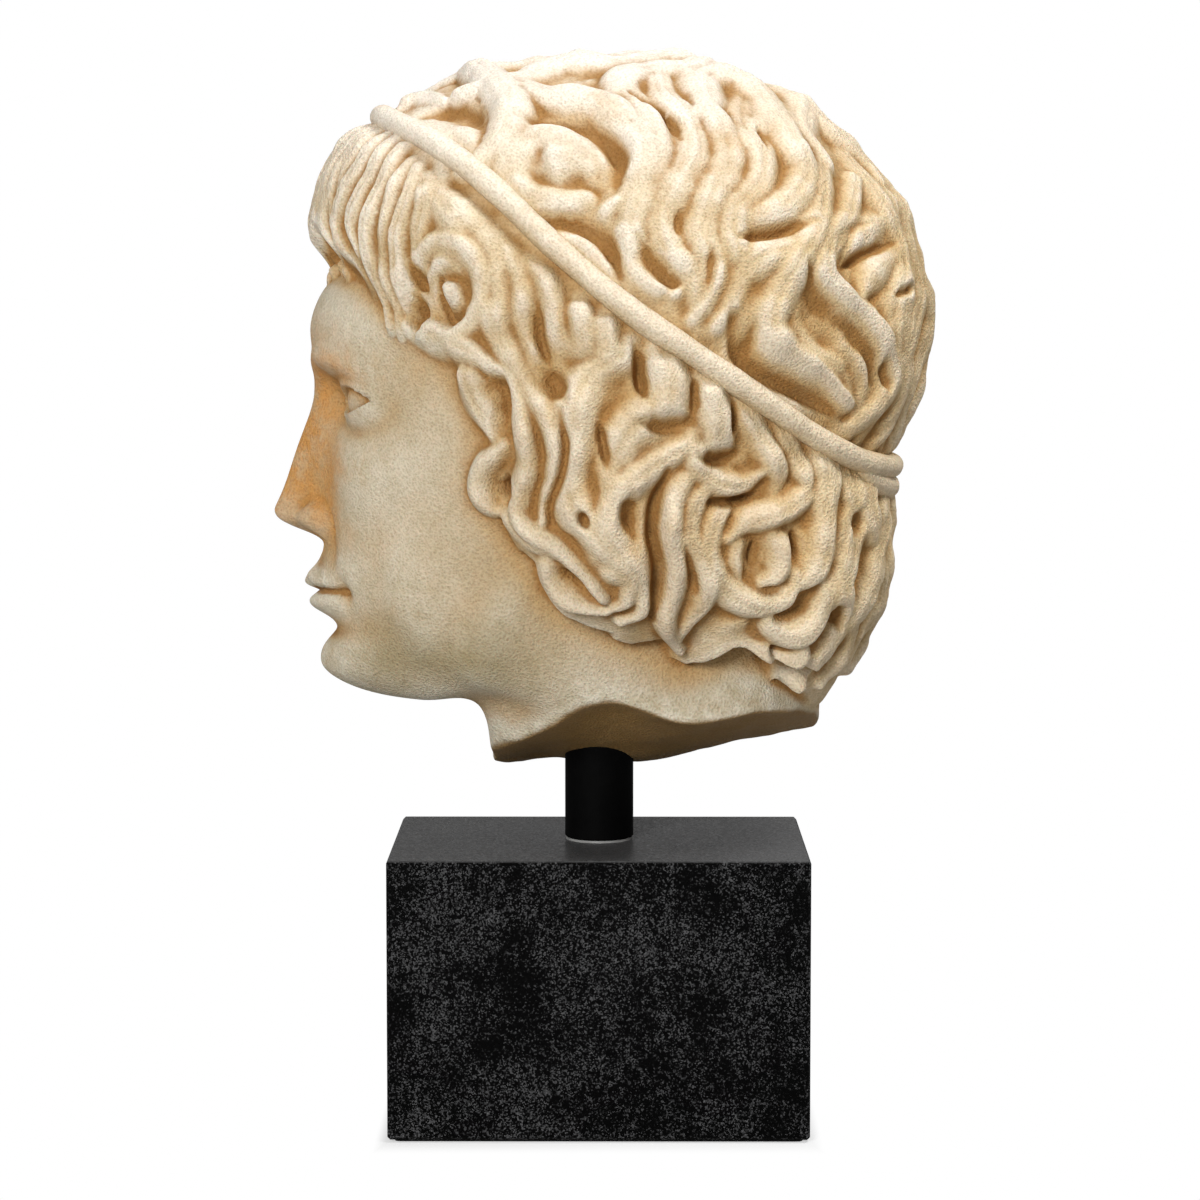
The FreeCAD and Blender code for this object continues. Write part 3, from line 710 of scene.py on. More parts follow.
# Each groove or drilled hollow: its places, half width and depth.
GROOVES = [
    ([(-64, 369), (-55, 371), (-47, 369), (-42, 363)], 4.4, 6),
    ([(-28, 363), (-16, 363), (-5, 361), (4, 356), (9, 349), (7, 341)], 3.0, 6),
    ([(-35, 334), (-23, 329), (-10, 329), (0, 325), (6, 317), (8, 309)], 2.8, 6),
    ([(14, 321), (18, 315), (23, 311), (26, 306), (23, 301)], 2.4, 5),
    ([(11, 373), (19, 368), (26, 362), (29, 355)], 2.0, 4),
    ([(28, 331), (27, 322)], 1.8, 3.5),
    ([(39, 317), (38, 303)], 1.9, 4),
    ([(56, 361), (59, 351)], 1.9, 3),
    ([(48, 320), (57, 322), (66, 324), (75, 326)], 2.3, 5.5),
    ([(46, 294), (49, 284), (57, 275), (68, 270), (80, 265), (89, 258)], 3.4, 7),
    ([(54, 293), (54, 283)], 1.8, 4),
    ([(72, 311), (77, 303), (85, 296), (92, 289), (97, 281), (98, 271)], 3.8, 5.5),
    ([(73, 301), (79, 291), (86, 282)], 5.5, 2.5),
    ([(87, 312), (93, 316), (99, 318), (106, 320)], 2.0, 4.5),
    ([(82, 316), (85, 322), (91, 326), (98, 327)], 1.3, 1.8),
    ([(104, 300), (111, 303)], 2.2, 4),
    ([(101, 279), (103, 267)], 2.4, 6),
    ([(-56, 307), (-56, 300), (-52, 294), (-47, 294)], 1.8, 5),
    ([(-66, 303), (-64, 296), (-65, 288)], 2.9, 8),
    ([(-67, 312), (-62, 305)], 3.2, 5),
    ([(-21, 299), (-21, 288), (-18, 278)], 1.9, 5),
    ([(13, 285), (15, 276), (16, 267)], 2.4, 7),
    ([(-20, 277), (-15, 272), (-11, 265)], 3.6, 5.5),
    ([(-37, 277), (-33, 268), (-33, 257)], 2.6, 4.5),
    ([(-13, 262), (-11, 250), (-13, 238), (-17, 228), (-17, 221)], 1.9, 6),
    ([(-34, 237), (-33, 229)], 4.0, 9),
    ([(-13, 204), (-5, 198)], 2.3, 7),
    ([(0, 257), (2, 250), (3, 242)], 1.8, 6),
    ([(-6, 227), (-4, 221)], 2.2, 6),
    ([(11, 233), (9, 225), (13, 217)], 2.5, 5),
    ([(24, 241), (20, 229), (19, 217), (21, 206), (20, 196), (19, 187)], 2.7, 8),
    ([(30, 215), (33, 204), (35, 195)], 1.4, 3.5),
    ([(15, 257), (23, 256), (31, 258)], 2.8, 6),
    ([(34, 273), (34, 261)], 2.0, 5.5),
    ([(35, 245), (42, 244), (49, 246)], 2.8, 6),
    ([(48, 265), (47, 253)], 1.8, 4),
    ([(39, 229), (48, 229), (57, 231)], 1.8, 5),
    ([(56, 215), (55, 205)], 1.6, 5),
    ([(70, 217), (70, 207)], 2.3, 7),
    ([(65, 175), (64, 172)], 2.6, 6),
    ([(93, 224), (91, 216)], 4.6, 4.5),
    ([(85, 191), (86, 183)], 3.8, 6),
]


def other_side(places):
    """The same places for the figure's right side, drifted so the sides differ."""
    y, z = np.array(places, float).T
    move_y, move_z = drift(y, z)
    return np.stack([y + move_y, z + move_z], axis=1)


MIRROR = np.array([-1.0, 1.0, 1.0])


def side_lines(places):
    """The line on the figure's left, and its drifted mate on the right."""
    return Line(on_head("side", places)), Line(on_head("side", other_side(places)) * MIRROR)


def wavy(start, finish, swing, waves, phase, hook=0.0, count=9):
    """Places from start to finish that swing to both sides, ending in a hook."""
    start, finish = np.array(start, float), np.array(finish, float)
    t = np.linspace(0, 1, count)[:, None]
    way = finish - start
    across = np.array([-way[1], way[0]]) / np.linalg.norm(way)
    bend = swing * np.sin(2 * math.pi * waves * t + phase) * smoothstep(0, 0.3, t)
    return start + way * t + across * (bend + hook * smoothstep(0.75, 1.0, t))


rng = np.random.default_rng(21)
lock_jobs = []
for entry in LOCKS:
    places, half_width, height, strands, lift = entry[:5]
    blunt = len(entry) > 5
    for line in side_lines(places):
        lock_jobs.append((line, half_width * 1.1, height * 0.92, lift, strands, blunt))

WHORL = (0.0, 56.0)
for k, (turn, length) in enumerate([
    (0, 120), (20, 112), (-20, 112), (42, 84), (-42, 84), (66, 66), (-66, 66), (92, 58),
    (-92, 58), (120, 52), (-120, 52), (150, 50), (-150, 50), (180, 50),
]):
    way = np.array([math.sin(math.radians(turn)), -math.cos(math.radians(turn))])
    start = np.array(WHORL) + 7 * way
    finish = np.array(WHORL) + length * way
    places = wavy(start, finish, 4.5, length / 46, 1.3 * k, 0.0, 12)
    lock_jobs.append((Line(on_head("top", places)), 7.5, 6.2, 0.3 * (k % 3), 3, False))
for k in range(-4, 5):
    x = 14.5 * k
    places = wavy((0.45 * x, 352), (x, 246), 4.5, 2.1, 1.7 * k, 0.0, 12)
    lock_jobs.append((Line(on_head("back", places)), 7.5, 6.2, 0.4 * (k % 3), 3, False))
    places = wavy((0.95 * x, 240), (0.85 * x, 162 + abs(k)), 4.5, 1.7, 2.1 * k, 6 - 3 * (k % 4), 12)
    lock_jobs.append((Line(on_head("back", places)), 7.0, 6.2, 0.4 * (k % 2), 2, False))
for k in range(-6, 7):
    x = 5.4 * k + 0.9 * math.sin(2.1 * k)
    fall = np.linspace(0, 1, 8)
    sway = (1.6 + 0.5 * math.sin(k)) * np.sin(5.6 * fall + 0.5 * k) * fall
    places = np.stack([x * (0.8 + 0.45 * fall) + sway, 365 - (47 + 2 * (k % 3)) * fall], axis=1)
    lock_jobs.append((Line(on_head("front", places)), 4.1, 5.2, 0.6 * (k % 2), 2, False))
front_grooves = [
    ([(x, 352), (1.1 * x + 1.5, 338), (1.18 * x, 324)], 1.3, 2.2) for x in (-24, -9, 6, 19, 31)
]

# filling strands: they follow the locks near them and lie low in the gaps
FILL_STRANDS, FILL_STEPS = 420, 13
guide_points = np.vstack([job[0].points[::3] for job in lock_jobs])
guide_along = np.vstack([job[0].along[::3] for job in lock_jobs])
seeds = rng.choice(np.flatnonzero(flat_hair > 0.97), FILL_STRANDS, replace=False)
spots = flat_points[seeds]
trail = [spots]
for _step in range(FILL_STEPS):
    square = (
        (spots**2).sum(1)[:, None] + (guide_points**2).sum(1)[None, :]
        - 2 * spots @ guide_points.T
    )
    weight = np.exp(-np.maximum(square, 0) / (2 * 7.0**2)) + 1e-12
    heading = weight @ guide_along
    heading /= np.linalg.norm(heading, axis=1, keepdims=True)
    spots = settle(spots + 2.6 * heading)
    trail.append(spots)
trail = np.stack(trail, axis=1)
kept = read_grid(hair_share, trail[:, -1]) > 0.6
for path in trail[kept]:
    lay_lock(Line(path[::3]), rng.uniform(2.4, 3.8), rng.uniform(1.2, 2.4), strands=1)

for line, half_width, height, lift, strands, blunt in sorted(lock_jobs, key=lambda job: job[3]):
    lay_lock(line, half_width, height, lift, strands, blunt)
for places, half_width, depth in GROOVES:
    for line in side_lines(places):
        carve(line, half_width, depth)
for places, half_width, depth in front_grooves:
    carve(Line(on_head("front", places)), half_width, depth)

# ------------------------------------------------------------------ hollows and the band's bed
def press_under_band(values):
    """Hair lies flatter beneath the band and swells out again beside it."""
    away = (theta_grid - band_theta(phi_grid)) * floor_radius
    return values * (1 - 0.72 * np.exp(-((away / 6.0) ** 2)))


# ------------------------------------------------------------------ break at the neck
def break_height(x, y):
    """Height of the broken face: slopes across and along, a rise at the left, noise."""
    rise_left, rise_right = np.tan(np.radians([17.0, 9.0]))
    rise_back, rise_front = np.tan(np.radians([12.0, 5.0]))
    across = soft_max(rise_left * (x + 10), -rise_right * (x + 10), 3)
    along = soft_max(rise_back * (y - 15), -rise_front * (y - 15), 4)
    chip = 12.0 * bump(y, 4, 21) * smoothstep(0, 52, x) - 3.0 * bump(y, -34, 10)
    rough = 2.4 * value_noise(np.stack([x, y, 0 * x], axis=-1), 26.0, 4, 3.7)
    return 126.5 + across + along + chip + rough


def break_field(x, y, z):
    """Positive below the broken face: a little less than the drop to it."""
    return 0.8 * (break_height(x, y) - (z + CHIN))


relief = evened(relief.reshape(theta_grid.shape), 1.2)
level = evened(relief, 7.0)
above_band = smoothstep(-2.0, 14.0, (band_theta(phi_grid) - theta_grid) * floor_radius)
clumps = value_noise(floor_points, 19.0, 2, 9.0)
swelling = value_noise(floor_points, 13.0, 2, 21.0)
depth_share = (0.88 - 0.22 * above_band) * (1.0 + 0.5 * clumps)
relief = press_under_band(level + (relief - level) * depth_share + 1.3 * swelling * hair_share)
weather = value_noise(floor_points, 9.0, 3, 5.0)
fine_wear = value_noise(floor_points, 3.2, 2, 1.0)
carved = floor_radius + relief + (0.6 * weather + 0.25 * fine_wear) * hair_share
downward = ray_grid[..., 2] < -0.12
cut = np.full(carved.shape, 400.0)
cut[downward] = reach_of(
    break_field, ray_grid[downward], np.full(int(downward.sum()), 160.0), 40, 0.8
)
chips = 1.6 * np.maximum(value_noise(floor_points, 8.0, 2, 11.0), 0.0)
radius = soft_min(carved - chips * smoothstep(9, 0, cut - carved), cut, 3.0)
broken = smoothstep(-1.5, 1.5, carved - cut)
# cavity values kept on the meshes; the marble paints its hollows darker from them, partly as dirt
# and partly as painted shade
hollow = evened(radius, 5.0) - radius
deep = evened(radius, 15.0) - radius


# ------------------------------------------------------------------ meshes
def make_mesh(name, points, tips=(None, None), ring=False, values=()):
    """A mesh from a grid of points whose columns run round.

    Quads join each row to the next, and in a ring the last row to the first. A tip
    before the first row or after the last is one point, joined to it by a fan.
    """
    rows, columns = points.shape[:2]
    index = np.arange(rows * columns).reshape(rows, columns)
    if ring:
        index = np.vstack([index, index[:1]])
    after = np.roll(index, -1, axis=1)
    quads = np.stack([index[:-1], index[1:], after[1:], after[:-1]], axis=-1).reshape(-1, 4)
    fans, extra = [np.empty((0, 3), int)], []
    for tip, row in zip(tips, (0, -1)):
        if tip is not None:
            number = np.full(columns, rows * columns + len(extra))
            pair = (index[row], after[row]) if row == 0 else (after[row], index[row])
            fans.append(np.stack([number, *pair], axis=-1))
            extra.append(tip)
    vertices = np.vstack([points.reshape(-1, 3)] + [np.reshape(p, (1, 3)) for p in extra])
    triangles = np.vstack(fans)
    mesh = bpy.data.meshes.new(name)
    mesh.vertices.add(len(vertices))
    mesh.vertices.foreach_set("co", vertices.reshape(-1))
    mesh.loops.add(quads.size + triangles.size)
    mesh.loops.foreach_set(
        "vertex_index", np.concatenate([quads.reshape(-1), triangles.reshape(-1)])
    )
    sides = np.concatenate([np.full(len(quads), 4), np.full(len(triangles), 3)])
    mesh.polygons.add(len(sides))
    mesh.polygons.foreach_set("loop_start", np.concatenate([[0], np.cumsum(sides)[:-1]]))
    mesh.update(calc_edges=True)
    mesh.polygons.foreach_set("use_smooth", np.ones(len(sides), bool))
    for label, table in values:
        layer = mesh.attributes.new(label, "FLOAT", "POINT")
        flat = np.concatenate([table.reshape(-1), np.full(len(extra), float(table.mean()))])
        layer.data.foreach_set("value", flat.astype(np.float32))
    piece = bpy.data.objects.new(name, mesh)
    bpy.context.scene.collection.objects.link(piece)
    return piece


def thin_to(piece, triangles):
    """Merges the flattest neighbours until the piece has no more triangles than asked."""
    sides = np.empty(len(piece.data.polygons), np.int32)
    piece.data.polygons.foreach_get("loop_total", sides)
    count = int((sides - 2).sum())
    if count <= triangles:
        return
    modifier = piece.modifiers.new("thin", "DECIMATE")
    modifier.ratio = triangles / count
    thinned = bpy.data.meshes.new_from_object(
        piece.evaluated_get(bpy.context.evaluated_depsgraph_get())
    )
    piece.modifiers.clear()
    piece.data = thinned
    piece.data.name = piece.name


def head_piece(name, first, last, tips):
    """Rows of the grid of directions, each point its radius away from the centre."""
    rows = slice(first, last + 1)
    points = (CENTRE + ray_grid[rows] * radius[rows, :, None]) * MM
    values = [
        ("hollow", hollow[rows]), ("deep", deep[rows]), ("broken", broken[rows]),
        ("hair", hair_share[rows]),
    ]
    piece = make_mesh(name, points, tips, values=values)
    thin_to(piece, PIECE_TRIANGLES)
    return piece


TOTAL_ROWS = CROWN_ROWS + LOWER_ROWS
middle = CENTRE * MM
top_tip = (CENTRE + POLE * radius[0].mean()) * MM
foot_tip = (CENTRE - POLE * radius[-1].mean()) * MM
head_crown = head_piece("head_crown", 1, CROWN_ROWS, (top_tip, middle))
head_lower = head_piece("head_lower", CROWN_ROWS, TOTAL_ROWS - 1, (middle, foot_tip))


# ------------------------------------------------------------------ hair band
def wrapped(values, reach):
    """A closed line's values, each averaged with its neighbours within reach."""
    kernel = np.hanning(2 * reach + 3)[1:-1]
    kernel /= kernel.sum()
    around = np.concatenate([values[-reach:], values, values[:reach]])
    return np.convolve(around, kernel, "valid")


CORD_HALF, CORD_LIFT = 4.3, 0.8
BAND_STEPS, TAIL_STEPS = 900, 260
all_turns = 2 * math.pi * np.arange(BAND_STEPS) / BAND_STEPS
band_bed = read_grid(
    evened(radius, 7.0), CENTRE + 90 * rays_of(band_theta(all_turns), all_turns)
)
band_bed = wrapped(band_bed, 14)


def cord_points(turns, shift, height, half_width, half_height, around=28):
    """An ellipse carried along the hair band's line, or along one beside it.

    The line lies shift millimetres below the band's middle and height above its bed,
    and the ellipse's half sizes change along it and waver with the wear.
    """
    rays = rays_of(band_theta(turns) + shift / 100.0, turns)
    bed = np.interp(turns % (2 * math.pi), all_turns, band_bed, period=2 * math.pi)
    path = CENTRE + rays * (bed + height)[:, None]
    along = np.gradient(path, axis=0)
    if turns[-1] - turns[0] > 6:
        along = np.roll(path, -1, axis=0) - np.roll(path, 1, axis=0)
    along /= np.linalg.norm(along, axis=1, keepdims=True)
    side = np.cross(rays, along)
    side /= np.linalg.norm(side, axis=1, keepdims=True)
    rise = np.cross(along, side)
    worn = 1 + 0.09 * value_noise(path, 16.0, 3, 2.0)
    turn = (2 * math.pi * np.arange(around) / around)[None, :, None]
    points = (
        path[:, None, :]
        + np.cos(turn) * ((half_width * worn)[:, None] * side)[:, None, :]
        + np.sin(turn) * ((half_height * worn)[:, None] * rise)[:, None, :]
    )
    return points + 0.25 * value_noise(points, 4.0, 2, 8.0)[..., None] * rise[:, None, :], path


steady = np.ones(len(all_turns))
ring_points, _path = cord_points(
    all_turns, 0 * steady, CORD_LIFT * steady, CORD_HALF * steady, CORD_HALF * steady
)


def cord_values(points):
    """Hollow is negative on a cord's crest and positive where it meets the hair."""
    lift = np.linalg.norm(points - CENTRE, axis=-1)
    sink = lift.mean(axis=1, keepdims=True) - lift
    # the marble paints the cord darker where it meets the hair from these values: partly dirt,
    # partly painted shade
    return [
        ("hollow", 0.25 * sink), ("deep", 0.3 * sink - 1.0),
        ("broken", 0 * sink), ("hair", 0 * sink + 1.0),
    ]


hair_band = make_mesh(
    "hair_band", ring_points * MM, ring=True, values=cord_values(ring_points)
)

tail_share = np.linspace(-1, 1, TAIL_STEPS)
tail_turns = math.pi + np.linspace(-0.62, 0.62, TAIL_STEPS)
tail_size = np.sqrt(np.clip(1 - np.abs(tail_share) ** 5, 0.02, 1))
tail_points, tail_path = cord_points(
    tail_turns, 8.0 * (1 - tail_share**4) - 0.8, 0.4 - 1.2 * tail_share**4,
    CORD_HALF * tail_size, 4.2 * tail_size,
)
band_tail = make_mesh(
    "band_tail", tail_points * MM, (tail_path[0] * MM, tail_path[-1] * MM),
    values=cord_values(tail_points),
)

for piece in (head_crown, head_lower, hair_band, band_tail):
    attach(piece, "root")
    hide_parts("marble_head")


# ------------------------------------------------------------------ materials
class Wire:
    """A value in a material; sums, products and smooth steps of it are nodes too."""

    def __init__(self, paint, socket):
        """Holds one output socket of a material's node."""
        self.paint, self.socket = paint, socket

    def maths(self, operation, *others):
        """A Math node of this value and others."""
        return self.paint.make("ShaderNodeMath", self, *others, operation=operation)

    def __add__(self, other):
        return self.maths("ADD", other)

    def __sub__(self, other):
        return self.maths("SUBTRACT", other)

    def __mul__(self, other):
        return self.maths("MULTIPLY", other)

    __radd__ = __add__
    __rmul__ = __mul__

    def __rsub__(self, other):
        return self * -1.0 + other

    def most(self, other):
        """The greater of two values."""
        return self.maths("MAXIMUM", other)

    def rise(self, low, high):
        """0 at low, 1 at high, and a smooth step between; low may be the greater."""
        return self.paint.make(
            "ShaderNodeMapRange", self, low, high, 0.0, 1.0, interpolation_type="SMOOTHSTEP"
        )

    def blend(self, first, second):
        """The first colour where the value is 0 and the second where it is 1."""
        return self.paint.make(
            "ShaderNodeMix", output=2, data_type="RGBA", named={0: self, 6: first, 7: second}
        )


class Paint:
    """A material of this sculpture, built up from its shader's own sockets."""

    def __init__(self, name, **constants):
        """A new material, its even values set on the shader's own sockets."""
        self.material = bpy.data.materials.new(name)
        self.material.use_nodes = True
        self.tree = self.material.node_tree
        self.shader = self.tree.nodes["Principled BSDF"]
        for label, value in constants.items():
            self.shader.inputs[label.replace("_", " ")].default_value = value
        place = self.tree.nodes.new("ShaderNodeTexCoord")
        self.place = Wire(self, place.outputs["Object"])

    def make(self, kind, *inputs, output=0, named=(), **settings):
        """Any node: its settings, its inputs in order or by number, and one output."""
        node = self.tree.nodes.new(kind)
        for label, value in settings.items():
            setattr(node, label, value)
        for key, value in [*enumerate(inputs), *dict(named).items()]:
            if isinstance(value, Wire):
                self.tree.links.new(value.socket, node.inputs[key])
            elif isinstance(value, tuple) and len(value) == 3 and node.inputs[key].type == "RGBA":
                node.inputs[key].default_value = (*value, 1.0)
            else:
                node.inputs[key].default_value = value
        return Wire(self, node.outputs[output])

    def attribute(self, label):
        """A value that the mesh holds at each of its points."""
        return self.make(
            "ShaderNodeAttribute", output=2, attribute_name=label, attribute_type="GEOMETRY"
        )

    def moved(self, shift):
        """The place on the object, moved so that two patterns of a kind differ."""
        return self.make("ShaderNodeVectorMath", self.place, (shift, shift, shift))

    def noise(self, size, detail, roughness, shift=0.0):
        """Cloudy values from 0 to 1 whose largest forms are about size metres wide."""
        return self.make(
            "ShaderNodeTexNoise",
            named={"Vector": self.moved(shift), "Scale": 1 / size, "Detail": detail,
                   "Roughness": roughness},
        )

    def cells(self, size, output="Distance", shift=0.0):
        """Distance to the nearest of scattered points about size metres apart."""
        return self.make(
            "ShaderNodeTexVoronoi", output=output, feature="F1",
            named={"Vector": self.moved(shift), "Scale": 1 / size},
        )

    def cell_values(self, size, shift=0.0):
        """A random value from 0 to 1 for each of the cells."""
        return self.make(
            "ShaderNodeSeparateColor", self.cells(size, output="Color", shift=shift)
        )

    def along(self, axis):
        """The place's X, Y or Z, as 0, 1 or 2."""
        return self.make("ShaderNodeSeparateXYZ", self.place, output=axis)

    def relief(self, height, depth):
        """The surface's normal, tilted by a height given in shares of depth metres."""
        return self.make(
            "ShaderNodeBump", output="Normal",
            named={"Height": height, "Distance": depth, "Strength": 1.0},
        )

    def finish(self, **wires):
        """Joins what varies over the surface to the shader and gives the material."""
        for label, wire in wires.items():
            self.tree.links.new(wire.socket, self.shader.inputs[label.replace("_", " ")])
        return self.material


def marble_paint():
    """Pale crystalline marble, warm and dark in its hollows (partly dirt, partly painted shade),
    with painted highlights, painted shade under the jaw and rust-coloured stains.
    """
    paint = Paint(
        "weathered_marble", Subsurface_Weight=0.06, Subsurface_Scale=0.004,
        Specular_IOR_Level=0.22,
    )
    hollow = paint.attribute("hollow")
    deep = paint.attribute("deep")
    broken = paint.attribute("broken")
    hair = paint.attribute("hair")
    clouds = paint.noise(0.045, 4.0, 0.6)
    patches = paint.noise(0.022, 5.0, 0.65, shift=3.0)
    mottle = paint.noise(0.006, 4.0, 0.7, shift=5.0)
    grain = paint.noise(0.0008, 2.0, 0.6, shift=7.0)
    crystals = paint.cells(0.0010)

    # the stone's own colour, greyer on the face and yellower in the hair; the hair is also painted
    # paler towards the top as a painted highlight
    forward, height = paint.along(1) * -1.0, paint.along(2)
    skin_colour = (clouds * 0.55 + mottle * 0.45).rise(0.36, 0.64).blend(
        (0.520, 0.435, 0.290), (0.725, 0.665, 0.530)
    )
    hair_colour = patches.rise(0.35, 0.70).blend((0.570, 0.425, 0.240), (0.730, 0.605, 0.415))
    # painted highlight: the hair is painted paler towards the top of the head, where the light from
    # above falls
    hair_colour = (height + clouds * 0.03).rise(0.330, 0.405).blend(
        hair_colour, (0.890, 0.820, 0.725)
    )
    golden = (forward * -1.0 + clouds * 0.03).rise(0.03, 0.11) * 0.4
    hair_colour = golden.blend(hair_colour, (0.760, 0.560, 0.290))
    colour = hair.blend(skin_colour, hair_colour)

    # ridges painted paler as a painted highlight, more so towards the top; hollows, wide and
    # narrow, painted darker ochre, partly dirt and partly painted shade
    # painted highlight: paler on ridges, where the hollow value is low, and more so higher up
    ridge = (hollow * -1.0 + mottle * 0.8 - 0.4).rise(0.0, 1.2) * (0.25 + 0.5 * hair)
    ridge = ridge * (0.45 + 0.55 * height.rise(0.22, 0.36))
    colour = ridge.blend(colour, (0.900, 0.825, 0.705))
    # wide and narrow hollows painted darker ochre: partly dirt in the stone, partly painted shade
    # standing in for ambient occlusion
    wide = (deep + mottle * 2.0 - 1.0).rise(-1.0, 2.6) * 0.8
    colour = wide.blend(colour, (0.520, 0.325, 0.125))
    valley_dirt_and_shade = (hollow * 1.1 + mottle * 0.9 - 0.45).rise(-0.1, 1.3) * 0.9
    colour = valley_dirt_and_shade.blend(colour, (0.330, 0.160, 0.040))

    # stains, rust down the middle of the face, painted shade under the jaw, and the old break
    # painted dark: its own brown and painted shade
    stain = paint.noise(0.03, 5.0, 0.7, shift=11.0).rise(0.54, 0.75) * 0.45
    colour = stain.blend(colour, (0.560, 0.370, 0.170))
    rust = (forward + patches * 0.03).rise(0.096, 0.118)
    rust = rust * (height + clouds * 0.02).rise(0.205, 0.235) * height.rise(0.302, 0.270)
    rust = rust * (1.0 - hair) * (0.45 + 0.55 * (patches * 0.6 + mottle * 0.4).rise(0.38, 0.60))
    # painted shade: the jaw's underside, turned down away from the light, is painted darker
    low = (height + clouds * 0.02).rise(0.205, 0.180) * height.rise(0.156, 0.172)
    low = low * forward.rise(0.0, 0.045) * forward.rise(0.090, 0.072) * (1.0 - hair) * 0.75
    colour = low.blend(colour, (0.310, 0.240, 0.115))
    colour = rust.blend(colour, (0.580, 0.285, 0.080))
    # the broken face underneath painted dark brown: partly its own weathered colour, partly painted
    # shade on a face turned down
    colour = (broken * 0.90).blend(colour, (0.250, 0.135, 0.032))

    # crystals
    speck = (grain * 0.6 + crystals * 0.5).rise(0.25, 0.75)
    colour = paint.make(
        "ShaderNodeMix", output=2, data_type="RGBA", blend_type="MULTIPLY",
        named={0: 0.44, 6: colour, 7: speck.blend((0.48, 0.40, 0.30), (1.0, 1.0, 1.0))},
    )
    roughness = 0.55 + 0.25 * grain + 0.08 * valley_dirt_and_shade
    pitting = grain * 0.6 + crystals * 0.4 + mottle * 0.3
    return paint.finish(
        Base_Color=colour, Roughness=roughness, Normal=paint.relief(pitting, 0.0008)
    )


def granite_paint():
    """Near-black polished granite: small pale crystals thickly scattered, in drifts."""
    paint = Paint("black_granite", Specular_IOR_Level=0.05)
    drift = paint.noise(0.028, 4.0, 0.65, shift=9.0)
    cloud = paint.noise(0.0026, 3.0, 0.7, shift=4.0)
    coarse, fine = paint.cell_values(0.0007), paint.cell_values(0.00045, shift=2.0)
    share = drift.rise(0.30, 0.62) * 0.16 + cloud * 0.35
    grains = (coarse * 0.75 + share).rise(0.84, 1.02)
    colour = grains.blend((0.0005, 0.0005, 0.0005), (0.046, 0.046, 0.047))
    bright = (fine * 0.7 + share).rise(0.84, 1.00) * 0.6
    colour = bright.blend(colour, (0.120, 0.120, 0.122))
    top = BLOCK_CORNER.z
    # painted sheen: the block's top face is painted lighter, standing in for the reflection on its
    # polished top
    painted_top_sheen = paint.along(2).rise(top - 0.0008, top - 0.0001) * (0.4 + 0.6 * cloud)
    colour = painted_top_sheen.blend(colour, (0.085, 0.085, 0.086))
    roughness = 0.22 + 0.22 * coarse + 0.1 * cloud
    return paint.finish(
        Base_Color=colour, Roughness=roughness, Normal=paint.relief(fine, 0.00006)
    )


def metal_paint(name, dark, light, rough):
    """Plain metal with soft cloudy wear and a fine machined grain."""
    paint = Paint(name, Metallic=1.0)
    wear = paint.noise(0.012, 4.0, 0.6)
    grain = paint.noise(0.0005, 3.0, 0.6, shift=3.0)
    return paint.finish(
        Base_Color=wear.rise(0.3, 0.7).blend(dark, light),
        Roughness=rough + 0.15 * wear + 0.1 * grain - 0.1,
        Normal=paint.relief(grain, 0.00002),
    )


def soft_paint(name, dark, light, rough, size, depth, specular=0.5):
    """A plastic, rubber, resin or felt: cloudy colour over a fine even texture."""
    paint = Paint(name, Specular_IOR_Level=specular)
    clouds = paint.noise(size * 8, 4.0, 0.6)
    grain = paint.noise(size, 3.0, 0.7, shift=3.0)
    return paint.finish(
        Base_Color=(clouds * 0.6 + grain * 0.4).rise(0.3, 0.7).blend(dark, light),
        Roughness=rough + 0.1 * grain,
        Normal=paint.relief(grain, depth),
    )


marble = marble_paint()
for piece in (head_crown, head_lower, hair_band, band_tail):
    piece.data.materials.clear()
    piece.data.materials.append(marble)

finishes = {
    "felt_base": soft_paint("black_felt", (0.006, 0.006, 0.006), (0.03, 0.03, 0.032), 0.85,
                            0.0004, 0.0003, 0.2),
    "granite_block": granite_paint(),
    "post_tube": soft_paint("matte_black_steel", (0.0004, 0.0004, 0.0004),
                            (0.0014, 0.0014, 0.0014), 0.65, 0.0006, 0.00002, 0.05),
    "foot_washer": soft_paint("clear_nylon", (0.22, 0.22, 0.21), (0.34, 0.34, 0.33), 0.35,
                              0.0006, 0.00003),
    "hex_nut": metal_paint("zinc_steel", (0.42, 0.43, 0.44), (0.62, 0.62, 0.60), 0.35),
    "lower_centring_ring": soft_paint("black_plastic", (0.01, 0.01, 0.011),
                                      (0.03, 0.03, 0.03), 0.45, 0.0008, 0.00003),
    "head_insert": metal_paint("turned_brass", (0.52, 0.36, 0.12), (0.72, 0.53, 0.22), 0.3),
    "socket_washer": soft_paint("black_rubber", (0.008, 0.008, 0.008), (0.022, 0.022, 0.022),
                                0.75, 0.0006, 0.00004, 0.3),
    "bonding_resin": soft_paint("amber_resin", (0.30, 0.22, 0.10), (0.46, 0.36, 0.19), 0.3,
                                0.0008, 0.00003),
}
for other, like in (
    ("spring_washer", "hex_nut"), ("plate_washer", "hex_nut"), ("threaded_rod", "hex_nut"),
    ("upper_centring_ring", "lower_centring_ring"),
):
    finishes[other] = finishes[like]
for node, material in finishes.items():
    for slot in bpy.data.objects[node].material_slots:
        slot.material = material

# ------------------------------------------------------------------ floor, light, camera
scene = bpy.context.scene
scene.view_settings.view_transform = "Standard"

